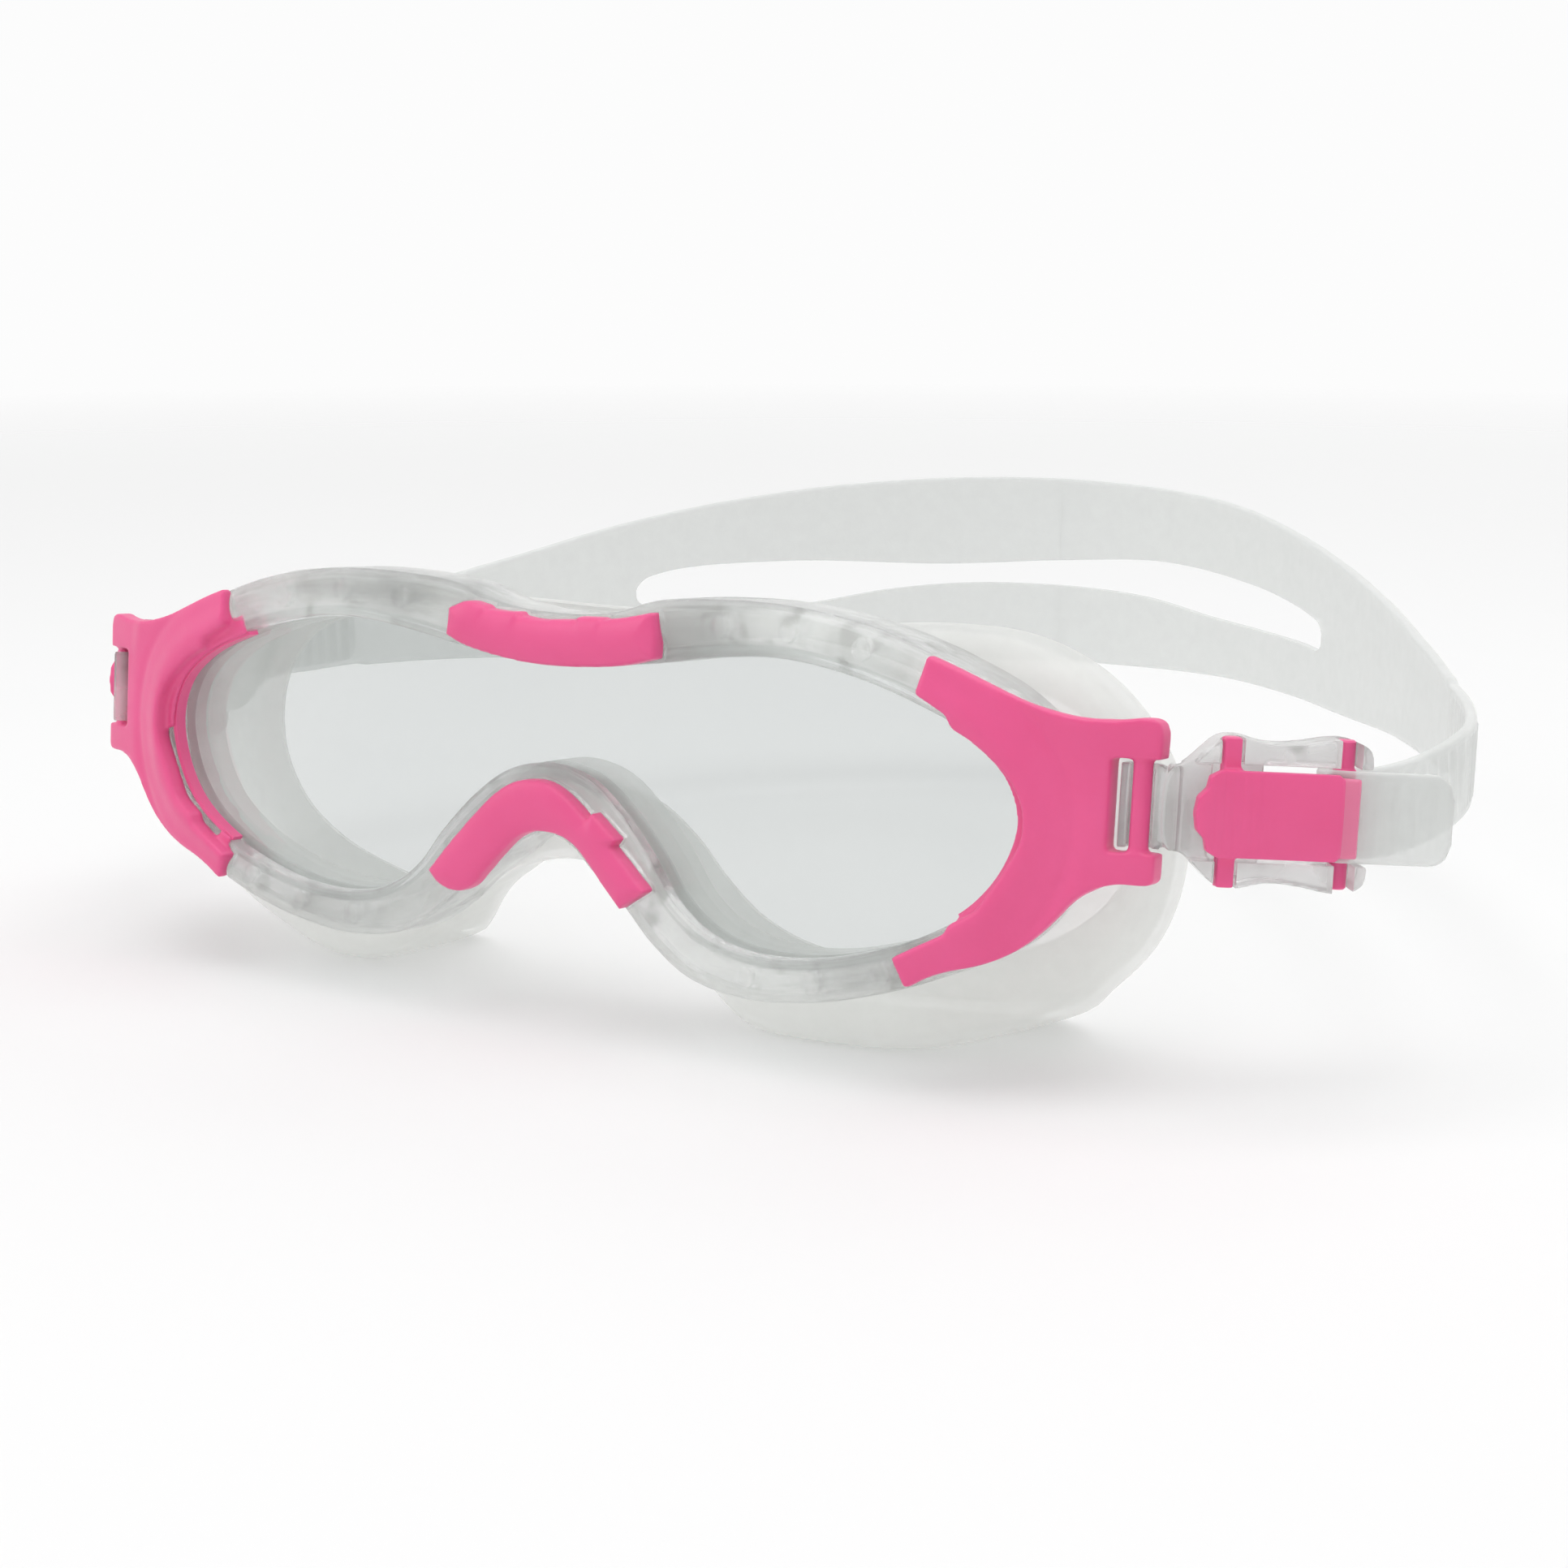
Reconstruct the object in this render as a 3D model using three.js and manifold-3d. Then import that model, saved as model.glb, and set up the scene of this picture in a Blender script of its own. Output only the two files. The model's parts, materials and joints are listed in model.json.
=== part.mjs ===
// Swim goggles: one curved lens in a clear bezel, four clip-on trim pieces, a soft face skirt
// and a split head strap held by two hinged, self-locking buckles.
// Millimetres, +Z up, the front of the goggles towards -Y. Names with "right" and "left" are as seen
// from the front, so the right-hand pieces lie towards +X, on the wearer's left.
import * as THREE from "three";
import { mergeVertices } from "three/addons/utils/BufferGeometryUtils.js";
import Module from "manifold-3d";

const wasm = await Module();
wasm.setup();

// ---------- driving dimensions ----------
const HALF_WIDTH = 79; // centre line to the end of a wing
const SIDE_SWEEP = 11.2; // how far the front face sweeps back at the wing ends
const CENTRE_DISH = 3.1; // how far the middle of the front face lies behind a pure sweep
const LEAN = 5.6; // degrees that the lens leans back
const STATIONS = 84; // steps around the lens opening
const GAP = 0.3; // running clearance between pieces

// Depths behind the curved front face.
const TRIM_FRONT = -1.0;
const TRIM_BACK = 0.9;
const TRIM_SEAT = TRIM_BACK + GAP;
const LIP_BACK = 2.6;
const LENS_FRONT = LIP_BACK + GAP;
const LENS_THICKNESS = 2;
const LENS_BACK = LENS_FRONT + LENS_THICKNESS;
const FLANGE_FRONT = LENS_BACK + GAP;
const FLANGE_BACK = FLANGE_FRONT + 1.1;
const RETAINER_FRONT = FLANGE_BACK + GAP;
const FRAME_BACK = RETAINER_FRONT + 2.6;
const NECK_BACK = FRAME_BACK + 0.6;

const LENS_OVERLAP = 1.8; // lens edge outside the opening
const BEZEL_WALL = 1.4;
const SKIRT_WALL = 1.3;
const POST_RADIUS = 0.7;

// Wing tab and its hinge bar.
const BAR_X = 76.9;
const BAR_RADIUS = 1.0;
const BAR_DEPTH = 0.35;
const SLOT_INNER_X = 73.9;
const SLOT_LOW = 0.2;
const SLOT_HIGH = 10.9;
const TAB_BACK = 2.0;
const BAR_MIDDLE = (SLOT_LOW + SLOT_HIGH) / 2;

// Buckle, measured from the hinge bar (length), across the strap (height) and through it (depth).
const HOOK_INNER = BAR_RADIUS + 0.35;
const HOOK_OUTER = 2.45;
const HOOK_HALF_HEIGHT = 4.8;
const CHANNEL_HALF = 5.5;
const CHANNEL_START = 7.6;
const BUCKLE_END = 25.6;
const RAIL_FRONT = -3.4;
const RAIL_BACK = 2.6;
const LEVER_PIVOT = { along: 9.4, depth: -1.9, radius: 1.0 };
const ROLLER = { along: 22.8, radius: 1.35, journal: 1.1 };
const PIN_HALF = 8.5;
const LEVER_HALF = 4.9;
const LEVER_END = 21;
const STRAP_THICKNESS = 1.4;
const WRAP_RADIUS = ROLLER.radius + GAP + STRAP_THICKNESS / 2;
const LEVER_BACK = -(WRAP_RADIUS + STRAP_THICKNESS / 2 + GAP);
const LEVER_FRONT = LEVER_BACK - 1.3;

// How far each buckle stands out from straight back, in degrees.
const SWING = { right: 57, left: 12 };

// Height of the resting plane under the skirt, before the whole object is put on its origin.
const REST_PLANE = -30.9;

const COLOURS = {
  clear: { color: 0xe6eaea, roughness: 0.08, metalness: 0 },
  silicone: { color: 0xdde1df, roughness: 0.4, metalness: 0 },
  pink: { color: 0xec6098, roughness: 0.42, metalness: 0 },
};

// ---------- outlines ----------
// Half outlines run from the top centre, round the wearer's left side, to the bottom centre.
const OPENING = [
  [0, 15.6], [8, 15.8], [15, 16.6], [24, 18.1], [33, 18.7], [42, 17.5], [50, 15], [57, 11.5],
  [61.5, 7.6], [63.3, 2.8], [62, -2.6], [58.5, -7.4], [53, -11.4], [46, -14.7], [38, -16.6],
  [30, -16.8], [24, -15.2], [19.5, -12], [15.5, -6.8], [11, -2], [6, 1.6], [0, 2.9],
];
const FRAME_OUTER = [
  [0, 21.7], [8, 22.3], [15, 24.3], [24, 25.1], [34, 25], [44.5, 23.4], [54, 20.4], [62, 16.4],
  [67.5, 10.8], [69.8, 3.3], [68.5, -4.6], [64, -11.5], [57.5, -15.6], [49.5, -19], [40, -21.6],
  [30, -22.6], [22, -21.2], [16.5, -17.8], [12, -13.6], [7.5, -10.2], [3.8, -7.2], [0, -5.9],
];
// The skirt's outermost fold and its inner lip also say how far back they lie.
const SKIRT_FOLD = [
  [0, 22.6, 13], [8, 22.8, 13], [16, 23.2, 13.5], [25, 23.6, 14.5], [35, 23.7, 16],
  [46, 24.5, 17], [55, 23.2, 20], [63, 19.4, 22.5], [69.6, 12.6, 24.5], [73.8, 4, 25.4],
  [74.4, -5.5, 25.6], [71.5, -14.4, 25.6], [63.5, -22.6, 24.6], [53, -27.4, 22.8],
  [42, -30.9, 20], [32, -31.2, 17.2], [25, -29.6, 15.6], [20.5, -26.5, 15], [15.6, -21.5, 14.5],
  [10.5, -15.5, 14], [5, -11.8, 13.6], [0, -10.8, 13.5],
];
const SKIRT_LIP = [
  [0, 16.5, 17], [8, 16.6, 17.2], [16, 17, 17.8], [25, 17.4, 19], [35, 17.6, 20.8],
  [45, 17.2, 23], [54, 15.6, 25.5], [60.5, 12.4, 27.8], [65, 7.6, 29.4], [67, 2, 30.4],
  [66.4, -4.6, 30.8], [62.5, -11, 31], [56, -15.8, 31.4], [47.5, -19, 31.8], [38.5, -21, 31.6],
  [29.5, -21.4, 30.4], [23, -19.8, 27.6], [18.4, -16.6, 24.4], [14.8, -12, 21.6],
  [10.8, -6.8, 20], [6, -3, 19], [0, -1.6, 18.6],
];
// The soft skirt is pressed up a little beside the nose on the wearer's right.
const PRESSED = { x: -24, spread: 10, lift: 6.4 };
const LOBE_DEPTH = 13; // extra depth of the lobes that the goggles stand on
// Outer edge of the right-hand wing, from its upper end to its lower end, slot included.
const WING_OUTER = [
  [51.4, 21.3], [56, 19.9], [60, 18.5], [64, 16.8], [68, 15.5], [72, 15], [77.4, 15.5],
  [79, 14.4], [79.2, SLOT_HIGH], [SLOT_INNER_X, SLOT_HIGH], [SLOT_INNER_X, SLOT_LOW],
  [79.2, SLOT_LOW], [79, -3], [78.2, -3.6], [74.5, -3.8], [72, -5], [70.2, -6.8],
  [68.2, -8.9], [65.6, -11.6], [62, -14], [58.5, -15.6], [54.5, -17.1], [51.5, -18.4],
  [50, -15.1],
];
const WING_INNER_END = [[55.4, 12.5], [51.2, 16.2]];
const BROW_CLIP = [
  [0, 21.3], [4.4, 21.4], [4.8, 21.9], [7.4, 22.1], [7.8, 21.8], [14.6, 23], [15.7, 20.2],
  [15.6, 16.7], [10, 15.5], [5, 15], [0, 14.9],
];
const NOSE_CLIP = [
  [0, 0.6], [4, -0.3], [8, -3.6], [12, -8.2], [16.4, -12.5], [15.6, -14.4], [12.8, -15.4],
  [9, -11.6], [5.8, -8.8], [3, -6.9], [0, -6.2],
];

// ---------- small helpers ----------
const radians = THREE.MathUtils.degToRad;

// Depth of the curved front face at a distance from the centre line.
function frontDepth(x) {
  const r = x / HALF_WIDTH;
  return SIDE_SWEEP * r ** 4 - CENTRE_DISH * r ** 2;
}

// A half outline together with its mirror image, as one closed loop.
function closeLoop(half) {
  const mirrored = half.slice(1, -1).reverse().map(([x, ...rest]) => [-x, ...rest]);
  return [...half, ...mirrored];
}

// Evenly many stations around a smooth closed loop, so that stations of two loops correspond.
function smoothLoop(half) {
  const points = closeLoop(half).map(([x, z, y = 0]) => new THREE.Vector3(x, y, z));
  const curve = new THREE.CatmullRomCurve3(points, true, "centripetal");
  return Array.from({ length: STATIONS }, (_, i) => curve.getPoint(i / STATIONS));
}

// The loop moved outward by a distance, in the plane of x and z.
function offsetLoop(loop, distance) {
  return loop.map((p, i) => {
    const before = loop[(i + loop.length - 1) % loop.length];
    const after = loop[(i + 1) % loop.length];
    const outward = new THREE.Vector3(-(after.z - before.z), 0, after.x - before.x).normalize();
    return p.clone().addScaledVector(outward, distance);
  });
}

function signedVolume(positions, index) {
  const [a, b, c] = [new THREE.Vector3(), new THREE.Vector3(), new THREE.Vector3()];
  let total = 0;
  for (let i = 0; i < index.length; i += 3) {
    a.fromArray(positions, index[i] * 3);
    b.fromArray(positions, index[i + 1] * 3);
    c.fromArray(positions, index[i + 2] * 3);
    total += a.dot(b.cross(c)) / 6;
  }
  return total;
}

// A closed surface from equal sections: a ring, or a bar with an end cap at each end.
function loft(sections, { ring = false } = {}) {
  const size = sections[0].length;
  const count = sections.length;
  const positions = sections.flat().flatMap((p) => [p.x, p.y, p.z]);
  const index = [];
  for (let i = 0; i < (ring ? count : count - 1); i++) {
    for (let k = 0; k < size; k++) {
      const a = i * size + k;
      const b = i * size + ((k + 1) % size);
      const c = ((i + 1) % count) * size + k;
      const d = ((i + 1) % count) * size + ((k + 1) % size);
      index.push(a, b, c, b, d, c);
    }
  }
  if (!ring) {
    const last = (count - 1) * size;
    for (let k = 1; k < size - 1; k++) {
      index.push(0, k + 1, k);
      index.push(last, last + k, last + k + 1);
    }
  }
  if (signedVolume(positions, index) < 0) index.reverse();
  const geometry = new THREE.BufferGeometry();
  geometry.setAttribute("position", new THREE.Float32BufferAttribute(positions, 3));
  geometry.setIndex(index);
  return geometry;
}

function toSolid(geometry) {
  const bare = geometry.clone();
  bare.deleteAttribute("normal");
  bare.deleteAttribute("uv");
  const merged = mergeVertices(bare, 1e-4);
  return new wasm.Manifold(
    new wasm.Mesh({
      numProp: 3,
      vertProperties: new Float32Array(merged.attributes.position.array),
      triVerts: new Uint32Array(merged.index.array),
    }),
  );
}

function fromSolid(solid) {
  const mesh = solid.getMesh();
  const geometry = new THREE.BufferGeometry();
  geometry.setAttribute("position", new THREE.BufferAttribute(mesh.vertProperties, 3));
  geometry.setIndex(new THREE.BufferAttribute(mesh.triVerts, 1));
  return geometry;
}

function named(name, geometry, look) {
  const flat = geometry.index ? geometry.toNonIndexed() : geometry;
  flat.computeVertexNormals();
  const mesh = new THREE.Mesh(flat, new THREE.MeshStandardMaterial(COLOURS[look]));
  mesh.name = name;
  return mesh;
}

// A straight prism along Y of an outline given in x and z.
function prism(outline, depth) {
  const shape = new THREE.Shape(outline.map(([x, z]) => new THREE.Vector2(x, z)));
  const geometry = new THREE.ExtrudeGeometry(shape, { depth, bevelEnabled: false });
  geometry.translate(0, 0, -depth / 2);
  geometry.rotateX(Math.PI / 2);
  return toSolid(geometry);
}

// A straight prism along Z of an outline given in x and y.
function upright(outline, low, high) {
  const shape = new THREE.Shape(outline.map(([x, y]) => new THREE.Vector2(x, y)));
  const geometry = new THREE.ExtrudeGeometry(shape, { depth: high - low, bevelEnabled: false });
  geometry.translate(0, 0, low);
  return toSolid(geometry);
}

function pin(radius, low, high, x, y, sides = 12) {
  const geometry = new THREE.CylinderGeometry(radius, radius, high - low, sides);
  geometry.rotateX(Math.PI / 2);
  geometry.translate(x, y, (low + high) / 2);
  return toSolid(geometry);
}

// A slab that follows the curved front face between two depths.
function curvedSlab(front, back) {
  const reach = HALF_WIDTH + 5;
  const columns = 44;
  const tall = 60;
  const sections = [];
  for (let i = 0; i <= columns; i++) {
    const x = -reach + (2 * reach * i) / columns;
    const y = frontDepth(x);
    sections.push([
      new THREE.Vector3(x, y + front, -tall),
      new THREE.Vector3(x, y + back, -tall),
      new THREE.Vector3(x, y + back, tall),
      new THREE.Vector3(x, y + front, tall),
    ]);
  }
  return toSolid(loft(sections));
}

// A panel bent over the front face: the outline, seen from the front, between two depths.
function panel(outline, front, back) {
  return prism(outline, 200).intersect(curvedSlab(front, back));
}

// An outline grown outward by a distance along its edge normals.
function grown(outline, distance) {
  const loop = outline.map(([x, z]) => new THREE.Vector3(x, 0, z));
  return offsetLoop(loop, distance).map((p) => [p.x, p.z]);
}

const flat2 = (loop) => loop.map((p) => [p.x, p.z]);

// ---------- lens, bezel, retainer ----------
const opening = smoothLoop(OPENING);
const frameOuter = smoothLoop(FRAME_OUTER);
const wallInside = offsetLoop(frameOuter, -BEZEL_WALL);

function onFace(p, depth) {
  return new THREE.Vector3(p.x, frontDepth(p.x) + depth, p.z);
}

const wingInner = opening
  .filter((p) => p.x > 49.5 && p.z < 12.5 && p.z > -14.5)
  .map((p) => [p.x, p.z])
  .reverse();
const WING = [...WING_OUTER, ...wingInner, ...WING_INNER_END];
const mirror = (outline) => outline.map(([x, z]) => [-x, z]).reverse();

function lens() {
  const edge = offsetLoop(opening, LENS_OVERLAP);
  return panel(flat2(edge), LENS_FRONT, LENS_BACK);
}

// The bezel's section: a crowned front lip over the lens edge and an outer wall behind it.
function bezel() {
  const across = [
    [0, 0.9], [0.12, 0.2], [0.4, -0.3], [0.7, -0.2], [0.92, 0.5], [1, 1.6],
  ];
  const sections = opening.map((inner, i) => {
    const outer = frameOuter[i];
    const wall = wallInside[i];
    const front = across.map(([s, depth]) => onFace(inner.clone().lerp(outer, s), depth));
    return [
      ...front,
      onFace(outer, FRAME_BACK),
      onFace(wall, FRAME_BACK),
      onFace(wall, LIP_BACK),
      onFace(inner, LIP_BACK),
    ];
  });
  const trims = [WING, mirror(WING), closeLoop(BROW_CLIP), closeLoop(NOSE_CLIP)];
  let solid = toSolid(loft(sections, { ring: true }));
  for (const outline of trims) {
    solid = solid.subtract(panel(grown(outline, GAP), TRIM_FRONT - 3, TRIM_SEAT));
  }
  return solid;
}

// The retainer clamps the skirt's flange on the lens; its posts snap into the bezel.
function retainer() {
  const inner = offsetLoop(opening, SKIRT_WALL + GAP);
  const outer = offsetLoop(frameOuter, -(BEZEL_WALL + GAP + 0.1));
  const sections = inner.map((p, i) => [
    onFace(p, RETAINER_FRONT),
    onFace(outer[i], RETAINER_FRONT),
    onFace(outer[i], FRAME_BACK),
    onFace(p, FRAME_BACK),
  ]);
  let solid = toSolid(loft(sections, { ring: true }));
  const half = STATIONS / 2;
  for (const station of [6, 8, 10, 26, 28, 30]) {
    for (const i of [station, 2 * half - station]) {
      const p = onFace(opening[i].clone().lerp(frameOuter[i], 0.54), 0);
      const geometry = new THREE.CylinderGeometry(POST_RADIUS, POST_RADIUS, 4, 8);
      geometry.translate(p.x, p.y + LENS_FRONT + 0.6 + 2, p.z);
      solid = solid.add(toSolid(geometry));
    }
  }
  return solid;
}

// ---------- face skirt ----------
const lean = new THREE.Matrix4().makeRotationX(-radians(LEAN));
const unlean = lean.clone().invert();

// Silicone that would reach below the resting plane lies flat on it instead.
function settle(p, height) {
  const world = p.clone().applyMatrix4(lean);
  world.z = Math.max(world.z, REST_PLANE + height);
  return world.applyMatrix4(unlean);
}

function pressed(loop, share) {
  return loop.map((p) => {
    const away = p.z < 0 ? (p.x - PRESSED.x) / PRESSED.spread : Infinity;
    p.z += share * PRESSED.lift * Math.exp(-(away ** 2));
    return p;
  });
}

function skirt() {
  const fold = pressed(smoothLoop(SKIRT_FOLD), 1);
  const lip = pressed(smoothLoop(SKIRT_LIP), 0.4);
  const flange = offsetLoop(opening, LENS_OVERLAP + 0.2);
  const neck = offsetLoop(opening, SKIRT_WALL);
  // Outer skin between neck and lip: share of the way out to the fold, and depth.
  const skin = (i, inset) => {
    const start = onFace(opening[i], NECK_BACK);
    const out = fold[i].clone().sub(start).setY(0);
    const reach = out.length() - inset;
    out.normalize();
    const at = (share, y) => start.clone().addScaledVector(out, share * reach).setY(y);
    const y0 = start.y;
    const y1 = fold[i].y;
    const y2 = y1 + 3.2 + LOBE_DEPTH * THREE.MathUtils.smoothstep(-fold[i].z, 19, 28);
    const tip = lip[i].clone().addScaledVector(out, inset ? 0.2 : 0.6);
    tip.y += inset ? -0.5 : 0.4;
    return [
      at(0.66, y0 + 0.16 * (y1 - y0) + inset),
      at(0.93, y0 + 0.42 * (y1 - y0) + inset * 0.5),
      at(1, y1 - 2),
      at(0.975, y2 - inset * 0.3),
      at(0.86, (y2 + tip.y) / 2 + 1.6 - inset * 0.9),
      tip,
    ];
  };
  const sections = opening.map((p, i) => {
    const outside = skin(i, 0).map((q) => settle(q, 0));
    const inside = skin(i, SKIRT_WALL).map((q) => settle(q, SKIRT_WALL));
    return [
      onFace(p, FLANGE_FRONT),
      onFace(flange[i], FLANGE_FRONT),
      onFace(flange[i], FLANGE_BACK),
      onFace(neck[i], FLANGE_BACK),
      onFace(neck[i], NECK_BACK),
      ...outside,
      ...inside.reverse(),
      onFace(p, NECK_BACK + SKIRT_WALL),
    ];
  });
  return loft(sections, { ring: true });
}

// ---------- trim pieces ----------
// A wing: the curved cover, a thicker tab outside the bezel, and the hinge bar across its slot.
function wing() {
  const tab = WING_OUTER.filter(([x]) => x >= 71.5);
  const barDepth = frontDepth(BAR_X) + BAR_DEPTH;
  return panel(WING, TRIM_FRONT, TRIM_BACK)
    .add(panel(tab, TRIM_FRONT, TAB_BACK))
    .add(pin(BAR_RADIUS, SLOT_LOW - 0.6, SLOT_HIGH + 0.6, BAR_X, barDepth, 10));
}

// ---------- buckles ----------
const BUCKLE_EDGE = [
  [2.2, HOOK_HALF_HEIGHT], [4.6, HOOK_HALF_HEIGHT], [6.4, 6.6], [8.4, 8.5], [10.8, 8.6],
  [13.6, 7.7], [17.4, 7.9], [21.6, 8.8], [24.2, 8.4], [BUCKLE_END, 7],
];
const LEVER_EDGE = [
  [5.4, 0], [5.8, 2.2], [6.8, 3.2], [6.8, 4.2], [8, LEVER_HALF], [LEVER_END, LEVER_HALF],
];

// An outline symmetric about its length axis, from the points on one side.
function bothSides(edge) {
  const other = edge.filter(([, w]) => w > 0).map(([u, w]) => [u, -w]);
  return [...edge, ...other.reverse()];
}

function block(x0, x1, y0, y1, z0, z1) {
  const geometry = new THREE.BoxGeometry(x1 - x0, y1 - y0, z1 - z0);
  geometry.translate((x0 + x1) / 2, (y0 + y1) / 2, (z0 + z1) / 2);
  return toSolid(geometry);
}

// The body: a J-shaped hook round the hinge bar, a neck, a cross bar and two side rails.
function buckleBody() {
  const deep = (RAIL_BACK - RAIL_FRONT) / 2;
  const middle = (RAIL_BACK + RAIL_FRONT) / 2;
  let solid = prism(bothSides(BUCKLE_EDGE), 2 * deep).translate([0, middle, 0]);
  const tall = CHANNEL_HALF;
  solid = solid.subtract(block(CHANNEL_START, 40, -9, 1.4, -tall, tall));
  solid = solid.subtract(block(14, 40, 1, 9, -tall, tall));
  solid = solid.subtract(block(1, 9, -9, -1.6, -tall, tall));
  solid = solid.subtract(block(1, 4.6, 1.2, 9, -9, 9));
  for (const [at, y, r] of [
    [LEVER_PIVOT.along, LEVER_PIVOT.depth, LEVER_PIVOT.radius],
    [ROLLER.along, 0, ROLLER.journal],
  ]) {
    solid = solid.subtract(pin(r + GAP, -20, 20, at, y));
  }
  const steps = 14;
  const from = radians(-25);
  const to = radians(185);
  const outer = [];
  const inner = [];
  for (let i = 0; i <= steps; i++) {
    const a = from + ((to - from) * i) / steps;
    outer.push([HOOK_OUTER * Math.cos(a), HOOK_OUTER * Math.sin(a)]);
    inner.push([HOOK_INNER * Math.cos(a), HOOK_INNER * Math.sin(a)]);
  }
  const hook = upright([...outer, ...inner.reverse()], -HOOK_HALF_HEIGHT, HOOK_HALF_HEIGHT);
  return solid.add(hook);
}

// The locking lever: a plate over the strap with a pair of stub axles near its nose.
function lever() {
  const deep = LEVER_BACK - LEVER_FRONT;
  const { along, depth, radius } = LEVER_PIVOT;
  return prism(bothSides(LEVER_EDGE), deep)
    .translate([0, LEVER_FRONT + deep / 2, 0])
    .add(block(along - 1, along + 1, LEVER_FRONT + 0.4, depth, -LEVER_HALF, LEVER_HALF))
    .add(pin(radius, -PIN_HALF, PIN_HALF, along, depth));
}

// The strap roller: a barrel between two thinner journals.
function roller() {
  const barrel = 5.2;
  const profile = [
    [0, -PIN_HALF], [ROLLER.journal, -PIN_HALF], [ROLLER.journal, -barrel],
    [ROLLER.radius, -barrel], [ROLLER.radius, barrel], [ROLLER.journal, barrel],
    [ROLLER.journal, PIN_HALF], [0, PIN_HALF],
  ];
  const geometry = new THREE.LatheGeometry(profile.map(([r, h]) => new THREE.Vector2(r, h)), 12);
  geometry.rotateX(Math.PI / 2);
  geometry.translate(ROLLER.along, 0, 0);
  return geometry;
}

// ---------- assembly of the leaning mask ----------
const mask = new THREE.Group();
mask.rotation.x = -radians(LEAN);
mask.add(named("lens", fromSolid(lens()), "clear"));
mask.add(named("front_bezel", fromSolid(bezel()), "clear"));
mask.add(named("rear_retainer", fromSolid(retainer()), "clear"));
mask.add(named("face_skirt", skirt(), "silicone"));
mask.add(named("brow_clip", fromSolid(panel(closeLoop(BROW_CLIP), TRIM_FRONT, TRIM_BACK)), "pink"));
mask.add(named("nose_clip", fromSolid(panel(closeLoop(NOSE_CLIP), TRIM_FRONT, TRIM_BACK)), "pink"));

const hinges = {};
for (const [side, sign] of [["right", 1], ["left", -1]]) {
  const half = new THREE.Group();
  half.scale.x = sign;
  half.add(named(side + "_wing", fromSolid(wing()), "pink"));
  const hinge = new THREE.Group();
  hinge.position.set(BAR_X, frontDepth(BAR_X) + BAR_DEPTH, BAR_MIDDLE);
  hinge.rotation.z = radians(90 - SWING[side]);
  hinge.add(named(side + "_buckle_body", fromSolid(buckleBody()), "clear"));
  hinge.add(named(side + "_lock_lever", fromSolid(lever()), "pink"));
  hinge.add(named(side + "_strap_roller", roller(), "pink"));
  half.add(hinge);
  mask.add(half);
  hinges[side] = hinge;
}
mask.updateMatrixWorld(true);

// ---------- head strap ----------
// Plan of the loop between the buckles, from the wearer's left (+X) round the back.
const LOOP_PLAN = [
  [101.6, 32.5], [102.8, 43], [98.8, 57.5], [89, 77.5], [80, 92.5], [70.5, 107], [59.5, 122],
  [46.5, 137], [27, 153], [2, 161], [-20, 156.5], [-39, 144], [-53.5, 128], [-62, 112],
  [-67, 97], [-71.5, 82], [-76, 67], [-80, 53], [-81.6, 42],
];
// Height of the loop's centre line by distance back.
const LOOP_RISE = [[0, 3.4], [38, 2.6], [85, 5.4], [161, 7.8]];
const LEFT_TAIL = [[-86.8, 43], [-85.8, 53], [-82.4, 65]];
const RIGHT_TAIL_LENGTH = 12;
const MIDDLE_AT = 0.541; // the strap's own middle, as a share of the loop from the right roller
// Distance from the strap's middle, its upper and lower edge, and the slit between its two bands.
const BAND = [
  { d: 0, top: 15.6, low: -15.8, slitTop: 1.8, slitLow: -2.4 },
  { d: 25, top: 15.2, low: -15.4, slitTop: 2, slitLow: -2.8 },
  { d: 48, top: 13.8, low: -14, slitTop: 2.6, slitLow: -4.6 },
  { d: 66, top: 12.2, low: -12.4, slitTop: 1.6, slitLow: -3.6 },
  { d: 77, top: 11.3, low: -11.4, slitTop: -0.8, slitLow: -1.2 },
  { d: 95, top: 9.6, low: -9.7, slitTop: 0, slitLow: 0 },
  { d: 112, top: 7.4, low: -7.4, slitTop: 0, slitLow: 0 },
  { d: 128, top: 5.3, low: -5.3, slitTop: 0, slitLow: 0 },
  { d: 140, top: 5.2, low: -5.2, slitTop: 0, slitLow: 0 },
  { d: 260, top: 5.2, low: -5.2, slitTop: 0, slitLow: 0 },
];
const SLIT_HALF_LENGTH = 77;

function between(table, x) {
  const last = table.length - 1;
  const i = Math.max(0, Math.min(last - 1, table.findLastIndex((row) => row[0] <= x)));
  const [x0, y0] = table[i];
  const [x1, y1] = table[i + 1];
  const t = THREE.MathUtils.clamp((x - x0) / (x1 - x0), 0, 1);
  return THREE.MathUtils.lerp(y0, y1, t * t * (3 - 2 * t));
}

const bandAt = (key, d) => between(BAND.map((row) => [row.d, row[key]]), Math.abs(d));

// Points of the strap where it passes round one roller: main layer first, then back as the tail.
function wrap(side, leadOut) {
  const place = (u, depth) => hinges[side].localToWorld(new THREE.Vector3(u, depth, 0));
  const points = [place(ROLLER.along + leadOut, WRAP_RADIUS)];
  const steps = 8;
  for (let i = 0; i <= steps; i++) {
    const a = Math.PI / 2 + (Math.PI * i) / steps;
    points.push(place(ROLLER.along + WRAP_RADIUS * Math.cos(a), WRAP_RADIUS * Math.sin(a)));
  }
  return points;
}

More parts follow.
